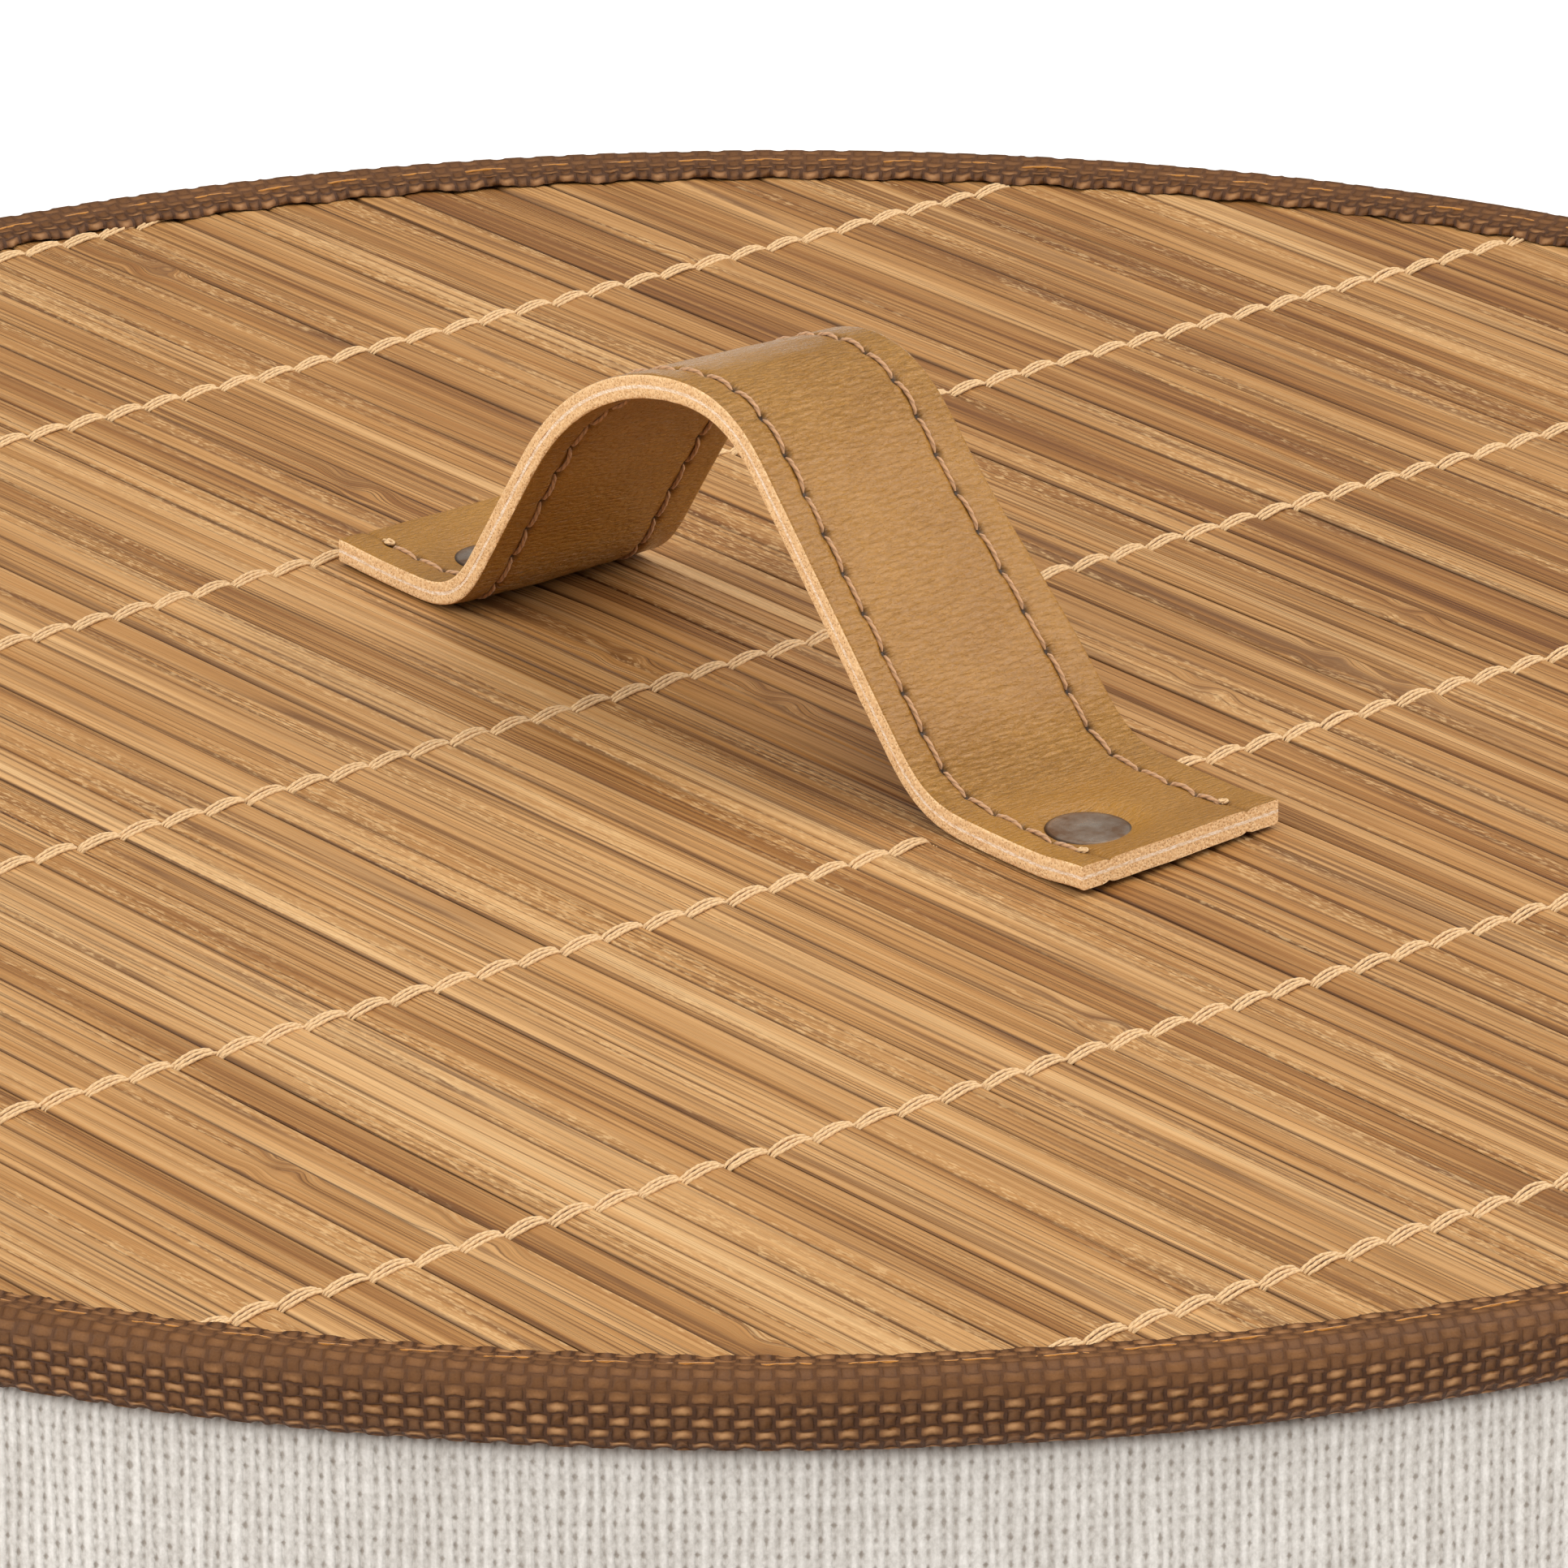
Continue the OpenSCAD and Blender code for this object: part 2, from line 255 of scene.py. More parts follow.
def bamboo_material():
    """Toned bamboo: each slat has its own tone, long fibres, fine dark grooves and swirls at the knots. The
    slats' edges and sides are darkened as painted shade of the gaps between them, with a little dirt, and
    the tone also holds a painted shade across the mat.
    """
    s = Shader("bamboo", Specular_IOR_Level=0.35)
    fibre = s.attribute("fibre", "Vector")

    def grooves(spacing, length, width):
        """Long thin lines, about spacing apart, where a slow noise passes through its middle value."""
        wave = s.noise(fibre, (0.62 / spacing, 1 / length, 1), 0.0)
        return s.ramp(s.math("ABSOLUTE", wave - 0.5), (0.0, 1.0), (width, 0.0))

    drift = s.noise(fibre, (0.25, 0.011, 1), 3.0)
    streak = s.noise(fibre, (1.05, 0.006, 1), 3.0, 0.65)
    fine = s.noise(fibre, (5.5, 0.03, 1), 2.0, 0.7)
    bundles = s.noise(fibre, (0.5, 0.014, 7))
    dashes = s.noise(fibre, (3.6, 0.7, 1), 2.0, 0.6)
    patches = s.noise(fibre, (0.28, 0.016, 3))
    # the slats' tone attribute also carries a painted shade that darkens the mat towards +x
    shade = s.attribute("tone_and_painted_shade") + (drift - 0.5) * 0.8 + (streak - 0.5) * 1.2
    base = s.ramp(shade, (0.0, rgb(110, 66, 29)), (0.28, rgb(147, 98, 48)), (0.5, rgb(177, 127, 72)),
                  (0.75, rgb(200, 152, 97)), (1.0, rgb(220, 177, 123)))
    base = s.darken(0.8, base, s.ramp(fine, (0.30, 0.55), (0.55, 1.0)))
    narrow = s.ramp(bundles, (0.38, 0.15), (0.55, 1.0)) * grooves(0.42, 150.0, 0.06)
    wide = s.ramp(patches, (0.36, 0.35), (0.5, 1.0)) * grooves(1.6, 260.0, 0.03)
    groove = s.math("MAXIMUM", narrow, wide)
    base = s.mix(groove * 0.7, base, rgb(84, 46, 18))
    pale = s.ramp(dashes, (0.52, 0.0), (0.62, 1.0)) * s.ramp(patches, (0.53, 0.0), (0.62, 0.5))
    base = s.mix(pale, base, rgb(224, 184, 130))
    base = s.mix(s.attribute("knot") * 0.5, base, rgb(118, 74, 34))
    # painted shade of the gaps between slats, with a little dirt: the slats' edges and sides darkened
    base = s.mix(s.ramp(s.attribute("edge"), (0.9, 0.0), (1.0, 0.7)), base, rgb(76, 44, 18))
    s.colour(base)
    s.rough(s.ramp(streak, (0.3, 0.54), (0.7, 0.40)))
    s.bump(fine * 0.45 - groove * 0.7 + streak * 0.9, 0.12, 0.9)
    return s.material


def thread_material(name, light, dark):
    """Spun thread: tiny fibres along it and a soft sheen, and painted shade in the grooves between its
    plies.
    """
    s = Shader(name, Roughness=0.72, Specular_IOR_Level=0.25, Sheen_Weight=0.25, Sheen_Roughness=0.4)
    fuzz = s.noise(s.place(), 5.0, 3.0, 0.65)
    # painted shade: the grooves between the plies take the dark colour
    base = s.mix(s.ramp(s.attribute("ply"), (0.0, 0.35), (0.5, 1.0)), dark, light)
    s.colour(s.darken(0.35, base, s.ramp(fuzz, (0.3, 0.7), (0.6, 1.0))))
    s.bump(fuzz, 0.06, 0.7)
    return s.material


def webbing_material():
    """Brown plain-weave tape: bright yarns that pass over each other in turn, with dark gaps between. Its
    colour follows the weave's height as painted shade, so the gaps and the crossing weft yarns are darker,
    and this painted shade is stronger down the tape's side than on its top.
    """
    s = Shader("brown_webbing", Roughness=0.5, Specular_IOR_Level=0.2)
    place = s.place()
    wobble = s.noise(place, 0.9)
    cell, row, side = s.split(s.attribute("tape", "Vector"))
    along = wobble * 0.24 + cell
    across = wobble * 0.30 + row
    along_cell = s.math("FRACT", along)
    across_cell = s.math("FRACT", across)
    count = s.math("FLOOR", along) + s.math("FLOOR", across)
    over = count - s.math("FLOOR", count * 0.5) * 2.0

    def yarn(cell_place, width):
        """Round section of a yarn, 0 at its sides and 1 along its middle."""
        offset = (cell_place * 2.0 - 1.0) / width
        return s.math("SQRT", (1.0 - offset * offset).clamp())

    def arch(cell_place, least):
        """Rise of a yarn over the one it crosses."""
        return s.math("SINE", cell_place * math.pi) * (1.0 - least) + least

    warp = over * yarn(across_cell, 0.82) * arch(along_cell, 0.45) * 0.82
    weft = (1.0 - over) * yarn(along_cell, 0.66) * arch(across_cell, 0.62)
    # painted shade: the colour contrast, like the bump, grows from the tape's top (side 0) to down its side
    # (side 1)
    contrast = side * 0.7 + 0.3
    # painted shade: the colour follows the height, dark in the gaps, with the weft yarns darker than the
    # warp
    shade = (warp * 1.25 + weft * 0.52 - 0.40) * contrast + 0.36
    fuzz = s.noise(place, 4.5, 3.0, 0.65)
    patch = s.noise(place, 0.05)
    base = s.ramp(shade, (0.0, rgb(72, 42, 19)), (0.3, rgb(98, 62, 32)), (0.62, rgb(136, 92, 53)),
                  (1.0, rgb(192, 143, 95)))
    base = s.darken(0.4, base, s.ramp(fuzz, (0.3, 0.62), (0.7, 1.0)))
    s.colour(s.darken(0.5, base, s.ramp(patch, (0.3, 0.8), (0.7, 1.1))))
    s.bump((warp + weft) * contrast + fuzz * 0.12, 0.5, 0.95)
    return s.material


def linen_material(name, light, dark, warp_pitch, weft_pitch, holes, slub):
    """Plain-weave cloth in its own thread coordinates: ribs up the warp, slubs, and small dark pinholes.
    The colour follows the weave's height as painted shade, and the pinholes are dark holes with a painted
    shadow that changes with the thread that lies over.
    """
    s = Shader(name, Roughness=0.88, Specular_IOR_Level=0.2)
    cloth = s.attribute("cloth", "Vector")
    sway = s.noise(cloth, (0.4, 0.09, 1), 3.0)
    dip = s.noise(cloth, (0.12, 0.5, 1), 3.0)
    across, along, _ = s.split(cloth)
    across = (sway * 1.2 + across) * (math.pi / warp_pitch)
    along = (dip * 1.4 + along) * (math.pi / weft_pitch)
    wave_a = s.math("SINE", across)
    wave_b = s.math("SINE", along)
    ridge_a = s.math("ABSOLUTE", wave_a)
    ridge_b = s.math("ABSOLUTE", wave_b)
    over = wave_a * wave_b * 0.5 + 0.5
    height = s.math("MAXIMUM", ridge_a * (over * 0.30 + 0.70), ridge_b * (over * -0.30 + 0.62))
    threads = s.noise(cloth, (0.85 / warp_pitch, 0.035, 1), 3.0, 0.6)
    picks = s.noise(cloth, (0.05, 0.9 / weft_pitch, 1), 2.0, 0.6)
    speck = s.noise(cloth, 0.75, 4.0, 0.7)
    fuzz = s.noise(cloth, (3.4, 2.2, 1), 2.0, 0.6)
    blotch = s.noise(cloth, 0.11)
    uneven = (threads - 0.5) * (5.0 * slub) + (picks - 0.5) * (1.6 * slub) + (blotch - 0.5) * 0.16
    # painted shade: raised threads lighter, hollows darker
    shade = (height * 0.60 + uneven + (fuzz - 0.5) * 0.7 + 0.25).clamp()
    pin = ((0.85 - (ridge_a + ridge_b * 0.75)) * 2.4).clamp() * s.ramp(speck, (0.36, 0.35), (0.58, 1.0))
    # painted shadow at the pinholes, stronger beside one crossing thread than the other
    painted_crossing_shadow = s.math("COSINE", across) * s.math("COSINE", along) * 0.42 + 0.72
    s.colour(s.mix((pin * painted_crossing_shadow * holes).clamp(), s.mix(shade, dark, light), rgb(118, 104, 90)))
    s.bump(height + threads * 1.1, 0.24, 0.8)
    return s.material


def leather_material():
    """Satin imitation leather: fine pebbled grain with painted shade in its valleys, creases across the
    bends, and stitch holes darkened with painted shade.
    """
    s = Shader("caramel_leather", IOR=1.48)
    strap = s.attribute("strap", "Vector")
    bend = s.attribute("bend")
    grain = s.noise(strap, (1.3, 2.8, 1), 3.0, 0.6)
    shifted = s.node("ShaderNodeVectorMath", {0: s.stretch(strap, (1.25, 2.9, 1)), 1: grain * 0.9},
                     operation="ADD")
    pebble = s.cells(shifted, 1.0)
    crease = s.noise(strap, (0.6, 2.1, 1), 4.0, 0.62, 0.8)
    base = s.ramp(s.noise(s.place(), 0.09), (0.3, rgb(155, 105, 33)), (0.7, rgb(168, 117, 43)))
    # painted shade: the pebbles' valleys darkened
    base = s.darken(1.0, base, s.ramp(pebble, (0.25, 1.0), (0.75, 0.88)))
    folds = s.ramp(crease, (0.40, 0.0), (0.47, 1.0), (0.54, 0.0))
    base = s.mix(folds * (bend * 0.30 + 0.13), base, rgb(192, 144, 80))
    # painted shade in the stitch holes and along the stitch rows
    s.colour(s.mix(s.attribute("pit"), base, rgb(40, 22, 10)))
    s.rough(s.ramp(grain, (0.3, 0.36), (0.7, 0.25)))
    s.bump(grain * 0.2 - pebble * 0.45 + crease * (bend * 1.5 + 1.0), 0.25)
    return s.material


def cut_edge_material():
    """The strap's cut edge: pale tan foam full of tiny dark pores."""
    s = Shader("strap_cut_edge", Roughness=0.85, Specular_IOR_Level=0.2)
    place = s.place()
    pores = s.cells(place, 3.6)
    base = s.ramp(s.noise(place, 3.0), (0.35, rgb(222, 177, 124)), (0.65, rgb(244, 206, 156)))
    s.colour(s.mix(s.ramp(pores, (0.16, 0.75), (0.34, 0.0)), base, rgb(146, 98, 50)))
    s.bump(pores, 0.12, 0.6)
    return s.material


def core_material():
    """The pale fibre web between the strap's leather layers."""
    s = Shader("strap_core", Roughness=0.9, Specular_IOR_Level=0.15)
    fibre = s.noise(s.place((1, 1, 3)), 2.6, 3.0)
    s.colour(s.ramp(fibre, (0.4, rgb(222, 188, 148)), (0.6, rgb(248, 230, 208))))
    s.bump(fibre, 0.1, 0.5)
    return s.material


def bronze_material():
    """Antique bronze: turned rings, pale grey patches that are partly rubbed wear and partly painted
    glints, scratches, and a painted shade round the rim of the cap.
    """
    s = Shader("bronze", Metallic=0.8)
    patch = s.noise(s.place(), 0.35, 3.0, 0.6)
    scratch = s.noise(s.place((1, 7, 1)), 1.4, 3.0)
    turned = s.attribute("turned")
    # the pale end of the patches is partly a painted glint, partly rubbed wear
    base = s.ramp(patch, (0.38, rgb(136, 102, 74)), (0.66, rgb(192, 174, 156)))
    base = s.darken(0.35, base, s.ramp(scratch, (0.3, 0.66), (0.7, 1.0)))
    # painted shade: the cap's rounded rim darkened
    s.colour(s.mix(s.ramp(turned, (0.77, 0.0), (0.83, 0.85)), base, rgb(60, 40, 26)))
    s.rough(s.ramp(patch, (0.35, 0.42), (0.65, 0.24)))
    s.bump(s.math("SINE", turned * 130.0) * 0.25 + scratch, 0.03, 0.6)
    return s.material


def board_material():
    """Fibreboard: brown chips of many sizes."""
    s = Shader("fibreboard", Roughness=0.8, Specular_IOR_Level=0.2)
    chips = s.noise(s.place(), 1.1, 4.0, 0.7)
    s.colour(s.mix(chips, rgb(150, 112, 76), rgb(188, 152, 112)))
    s.bump(chips, 0.15, 0.5)
    return s.material


def steel_material():
    """Drawn steel wire, slightly mottled."""
    s = Shader("steel_wire", Metallic=1.0)
    drawn = s.noise(s.place(), 0.8, 3.0)
    s.colour(s.mix(drawn, rgb(150, 152, 154), rgb(186, 188, 190)))
    s.rough(s.ramp(drawn, (0.3, 0.32), (0.7, 0.45)))
    s.bump(drawn, 0.02, 0.4)
    return s.material


BAMBOO = bamboo_material()
MAT_THREAD = thread_material("cream_thread", rgb(226, 188, 138), rgb(150, 106, 60))
SEAM_THREAD = thread_material("tan_thread", rgb(200, 154, 112), rgb(96, 62, 38))
AMBER_THREAD = thread_material("amber_thread", rgb(190, 128, 56), rgb(120, 70, 24))
LINEN_THREAD = thread_material("linen_thread", rgb(222, 216, 206), rgb(150, 142, 130))
WEBBING = webbing_material()
LINEN = linen_material("linen", rgb(222, 216, 208), rgb(147, 137, 126), 1.16, 1.4, holes=0.54, slub=0.15)
LINING = linen_material("lining", rgb(214, 209, 201), rgb(160, 153, 144), 0.6, 0.7, holes=0.2, slub=0.05)
LEATHER = leather_material()
CUT_EDGE = cut_edge_material()
CORE = core_material()
BRONZE = bronze_material()
BOARD = board_material()
STEEL = steel_material()


# ---------------------------------------------------------------- mesh building

def face_outwards(mesh):
    """Turns every face so that its front looks out of the solid it belongs to."""
    work = bmesh.new()
    work.from_mesh(mesh)
    bmesh.ops.recalc_face_normals(work, faces=work.faces)
    work.to_mesh(mesh)
    work.free()


def make_piece(name, vertices, faces, body, materials, attributes=(), face_materials=None,
               replaces=(), sharp=60):
    """Makes a mesh piece from points in millimetres, puts it under its body's empty and hides the CAD parts
    it replaces.
    """
    mesh = bpy.data.meshes.new(name)
    mesh.from_pydata(np.reshape(vertices, (-1, 3)) * MM, [], faces)
    mesh.polygons.foreach_set("use_smooth", np.ones(len(mesh.polygons), bool))
    for key, values in dict(attributes).items():
        vector = values.ndim == 2
        layer = mesh.attributes.new(key, "FLOAT_VECTOR" if vector else "FLOAT", "POINT")
        layer.data.foreach_set("vector" if vector else "value", values.ravel())
    for material in materials:
        mesh.materials.append(material)
    if face_materials is not None:
        mesh.polygons.foreach_set("material_index", face_materials)
    mesh.validate()
    face_outwards(mesh)
    mesh.set_sharp_from_angle(angle=math.radians(sharp))
    piece = bpy.data.objects.new(name, mesh)
    bpy.context.scene.collection.objects.link(piece)
    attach(piece, body)
    if replaces:
        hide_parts(*replaces)
    return piece


def grid_faces(rows, columns, wrap_rows=False, wrap_columns=False, first=0):
    """Quads between neighbours of a grid of points, row after row."""
    i = np.arange(rows if wrap_rows else rows - 1)
    j = np.arange(columns if wrap_columns else columns - 1)
    i, j = np.meshgrid(i, j, indexing="ij")
    i_next, j_next = (i + 1) % rows, (j + 1) % columns
    quads = np.stack([i * columns + j, i * columns + j_next,
                      i_next * columns + j_next, i_next * columns + j], -1)
    return (quads.reshape(-1, 4) + first).tolist()


def tube_faces(rings, columns, first=0):
    """Quads round a tube of rings of points, and one face over each end."""
    last = first + (rings - 1) * columns
    ends = [list(range(start, start + columns)) for start in (first, last)]
    return grid_faces(rings, columns, wrap_columns=True, first=first) + ends


def spin(radius, angle, z):
    """Points in space from a radius, a turn and a height."""
    return np.stack(np.broadcast_arrays(radius * np.cos(angle), radius * np.sin(angle), z), -1)


def each_way(values, count):
    """The same values in every one of count columns."""
    return np.repeat(values[:, None], count, 1)


def smooth_step(x, start, end):
    t = np.clip((x - start) / (end - start), 0, 1)
    return t * t * (3 - 2 * t)


def reach_along(points):
    """Distance from the first point to each point along a line."""
    steps = np.linalg.norm(np.diff(points, axis=0), axis=1)
    return np.concatenate([[0], np.cumsum(steps)])


class Ripple:
    """Smooth, repeatable unevenness: a sum of sine waves over one or two coordinates."""

    def __init__(self, seed, longest, shortest, count=9):
        draw = np.random.default_rng(seed)
        lengths = np.exp(draw.uniform(math.log(shortest), math.log(longest), count))
        angles = draw.uniform(0, TURN, count)
        self.kx = TURN / lengths * np.cos(angles)
        self.ky = TURN / lengths * np.sin(angles)
        self.phase = draw.uniform(0, TURN, count)

    def __call__(self, x, y=0.0):
        total = sum(np.sin(a * x + b * y + p) for a, b, p in zip(self.kx, self.ky, self.phase))
        return total / math.sqrt(len(self.phase))


def around_ripple(seed, most, angle):
    """Unevenness round a circle that joins up with itself."""
    draw = np.random.default_rng(seed)
    total = np.zeros_like(angle)
    for k in range(2, most):
        total += draw.normal() / math.sqrt(k) * np.cos(k * angle + draw.uniform(0, TURN))
    return total / math.sqrt(most / 2)


def arc_points(centre, radius, start, end, count):
    angles = np.radians(np.linspace(start, end, count))
    return np.stack([centre[0] + radius * np.cos(angles), centre[1] + radius * np.sin(angles)], 1)


def resample(points, step):
    """Evenly spaced points along a line of points, with the distance reached at each."""
    reach = reach_along(points)
    count = max(2, round(reach[-1] / step) + 1)
    at = np.linspace(0, reach[-1], count)
    return np.stack([np.interp(at, reach, points[:, k]) for k in range(2)], 1), at


def left_normals(points):
    tangent = np.gradient(points, axis=0)
    tangent /= np.linalg.norm(tangent, axis=1, keepdims=True)
    return np.stack([-tangent[:, 1], tangent[:, 0]], 1)


class Tubes:
    """Collects many short threads, each a twisted tube along its own centreline, in one mesh."""

    PLIES = 2
    TAPER = 0.55

    def __init__(self, radius, sides, lay, lobe=0.07):
        self.radius = radius
        self.lobe = lobe
        self.sides = sides
        self.lay = lay
        self.vertices = []
        self.faces = []
        self.ply = []

    def add(self, line, up, phase=0.0):
        """line is the centreline's points and up a direction that is never along it."""
        tangent = np.gradient(line, axis=0)
        tangent /= np.linalg.norm(tangent, axis=1, keepdims=True)
        side = np.cross(tangent, up)
        side /= np.linalg.norm(side, axis=1, keepdims=True)
        top = np.cross(side, tangent)
        around = np.arange(self.sides) / self.sides * TURN
        twist = TURN * reach_along(line)[:, None] / (self.lay * self.PLIES)
        lobes = np.cos(self.PLIES * (around - twist) + phase)
        radius = self.radius * (1 + self.lobe * lobes)
        radius[[0, -1]] *= self.TAPER
        outward = np.cos(around)[:, None] * side[:, None] + np.sin(around)[:, None] * top[:, None]
        first = len(self.vertices) * self.sides
        self.vertices += list(line[:, None] + radius[..., None] * outward)
        self.ply.append((0.5 + 0.5 * lobes).ravel())
        self.faces += tube_faces(len(line), self.sides, first)

    def piece(self, name, body, slot, material, replaces=()):
        make_piece(name, self.vertices, self.faces, body, [material],
                   {"ply": np.concatenate(self.ply)}, replaces=replaces)


# ---------------------------------------------------------------- bamboo mat

def press(x, y):
    """How far the strap's rivets pull the mat and the strap's feet down at a place on the lid."""
    return sum(0.55 * np.exp(-((x - a) ** 2 + (y - b) ** 2) / 9.0 ** 2) for a, b in LID_RIVETS)


class Mat:
    """The row of bamboo slats: where each lies and how wide, high and dark it is. Each slat's darkness is
    its own random tone plus a painted shade that grows towards +x.
    """

    CROWN = 0.09
    EDGE_DROP = 0.20
    HIGHEST = 0.12

    def __init__(self):
        draw = np.random.default_rng(20)
        reach = math.ceil(CORE_R / SLAT_PITCH) + 1
        self.gaps = SLAT_PHASE + SLAT_PITCH * np.arange(-reach, reach + 1)
        gap_width = 0.03 + 0.14 * draw.random(len(self.gaps)) ** 2
        self.slats = []
        for k in range(len(self.gaps) - 1):
            left = self.gaps[k] + gap_width[k] / 2
            right = self.gaps[k + 1] - gap_width[k + 1] / 2
            edge = max(abs(left), abs(right))
            if edge > CORE_R - 2:
                continue
            half = math.sqrt(CORE_R ** 2 - edge ** 2) - 0.3
            self.slats.append({
                "middle": (left + right) / 2, "width": right - left, "half": half, "seed": k,
                # a random tone for each slat, minus a painted shade that darkens the slats towards +x
                "tone_and_painted_shade": float(np.clip(draw.normal(0.55, 0.09), 0.2, 0.9)) - 0.15 * left / CORE_R,
                "drop": abs(draw.normal(0, 0.07)), "tilt": draw.normal(0, 0.012),
                "knots": [draw.uniform(-half, half) for _ in range(draw.poisson(half / 420))]})

    def slat_mesh(self, slat):
        """Points, faces and shader values of one slat, with closer points near its knots."""
        draw = np.random.default_rng(1000 + slat["seed"])
        half, width = slat["half"], slat["width"]
        stations = [np.arange(-half, half, 5.0), [half]]
        stations += [np.arange(max(k - 12, -half), min(k + 12, half), 0.7) for k in slat["knots"]]
        along = np.unique(np.round(np.concatenate(stations), 2))
        u = np.sin(np.linspace(-1, 1, 13) * math.pi / 2)
        drift = Ripple(2000 + slat["seed"], 260, 60, 5)
        edge_wear = Ripple(3000 + slat["seed"], 60, 9, 7)
        y, across = np.meshgrid(along, u, indexing="ij")
        x = slat["middle"] + 0.05 * drift(y) + across * (width / 2 + 0.02 * edge_wear(y))
        z = MAT_Z - slat["drop"] - self.CROWN * across ** 2 - self.EDGE_DROP * np.abs(across) ** 16
        z += slat["tilt"] * across * width / 2 - press(x, y) + 0.025 * edge_wear(y * 0.3, across * 5)
        swirl_x, swirl_y, knot = np.zeros((3, *x.shape))
        for k in slat["knots"]:
            offset = draw.uniform(-0.5, 0.5)
            reach = draw.uniform(3.5, 6.0)
            near = np.exp(-((y - k) / reach) ** 2 - ((across - offset) / 0.9) ** 2)
            swirl_x += near * (across - offset + 0.4) * 2.2 * np.sin((y - k) / reach * 2.4)
            swirl_y += near * 12 * np.abs(across - offset)
            core = np.exp(-((y - k) / (0.35 * reach)) ** 2 - ((across - offset) / 0.45) ** 2)
            knot = np.maximum(knot, core)
            z += 0.16 * near - 0.10 * core
        z = np.minimum(z, MAT_Z + self.HIGHEST)
        top = np.stack([x, y, z], -1)
        foot = top[:, [-1, 0]]
        foot[..., 2] = SLAT_BASE_Z + SKIN
        points = np.concatenate([top, foot], 1)

        def pad(values, value):
            return np.pad(values, ((0, 0), (0, 2)), constant_values=value).ravel()

        fibre_x = pad(across * width / 2 + swirl_x, 0)
        fibre = np.stack([fibre_x, pad(y + swirl_y, 0), np.full_like(fibre_x, 13.7 * slat["seed"])], 1)
        return points.reshape(-1, 3), tube_faces(*points.shape[:2]), {
            "fibre": fibre,
            "tone_and_painted_shade": np.full_like(fibre_x, slat["tone_and_painted_shade"]),
            # 1 at the slat's edges and sides, where the shader paints the gaps' shade
            "edge": pad(np.abs(across), 1.0),
            "knot": pad(knot, 0)}

    def band(self, name, slats, replaces=()):
        """One piece of neighbouring slats."""
        vertices, faces, attributes, count = [], [], {}, 0
        for slat in slats:
            points, quads, values = self.slat_mesh(slat)
            vertices.append(points)
            faces += [[v + count for v in face] for face in quads]
            for key, value in values.items():
                attributes.setdefault(key, []).append(value)
            count += len(points)
        attributes = {key: np.concatenate(value) for key, value in attributes.items()}
        make_piece(name, np.concatenate(vertices), faces, "lid", [BAMBOO],
                   attributes, replaces=replaces, sharp=50)


def make_mat():
    """The slats in four bands, and the thread laced over and under them in seven rows."""
    mat = Mat()
    for k, band in enumerate(np.array_split(mat.slats, 4)):
        mat.band(f"bamboo_slats_{k + 1}", band, ("lid_slats",) if k == 0 else ())
    lace_mat(mat)


def lace_mat(mat):
    """Each thread row passes over every slat as a bundle of three strands, and dives between the slats."""
    depth, overlap = 0.6, 0.40
    strand_gap = 0.62
    draw = np.random.default_rng(77)
    inner = LID_R - BINDING_W + 1.5
    t = np.linspace(0, 1, 12)
    bulge = np.sin(math.pi * t) ** 0.36
    spread = 0.5 + 0.5 * np.sin(math.pi * t) ** 0.6
    for part, rows in enumerate((THREAD_ROWS[:4], THREAD_ROWS[4:])):
        tubes = Tubes(0.18, sides=8, lay=0.9, lobe=0.16)
        for row in rows:
            reach = math.sqrt(max(inner ** 2 - row ** 2, 0))
            for left, right in zip(mat.gaps[:-1], mat.gaps[1:]):
                if left < -reach - 2 or right > reach + 2:
                    continue
                pressed = STRAP_X - 1 < (left + right) / 2 < STRAP_X + STRAP_W + 1 and -45 < row < -35
                lift = 0.12 if pressed else 1.0
                wander = draw.normal(0, 0.06)
                for k in range(3):
                    start_y = -0.75 + draw.normal(0, 0.05)
                    end_y = 0.15 + draw.normal(0, 0.05)
                    x = left - overlap + (right - left + 2 * overlap) * t + draw.normal(0, 0.05)
                    y = row + wander + start_y + (end_y - start_y) * smooth_step(t, 0.0, 0.8)
                    y += strand_gap * (k - 1) * spread
                    z = MAT_Z - depth + (depth + 0.10 + 0.02 * k) * bulge * lift - press(x, y)
                    tubes.add(np.stack([x, y, z], 1), (0, 0, 1), phase=draw.uniform(0, TURN))
        tubes.piece(f"mat_lacing_{part + 1}", "lid", "cream_thread", MAT_THREAD,
                    ("lid_mat_threads",) if part == 0 else ())


# ---------------------------------------------------------------- woven tape

TAPE_CELL = 1.78
TAPE_ROW = 1.12
TAPE_RELIEF = 0.42
TAPE_STEPS = 5
TAPE_FIRST_ROW = 8


def weave(s, v):
    """Height of a plain weave, 0 to 1, at s cells along the tape and v rows across it."""
    over = (np.floor(s) + np.floor(v)) % 2
    s, v = s % 1, v % 1

    def yarn(place):
        return np.sqrt(np.clip(1 - ((2 * place - 1) / 0.75) ** 2, 0, 1))

    warp = yarn(v) * (0.5 + 0.5 * np.sin(math.pi * s))
    weft = yarn(s) * (0.55 + 0.45 * np.sin(math.pi * v))
    return np.where(over > 0.5, 0.82 * warp, weft)


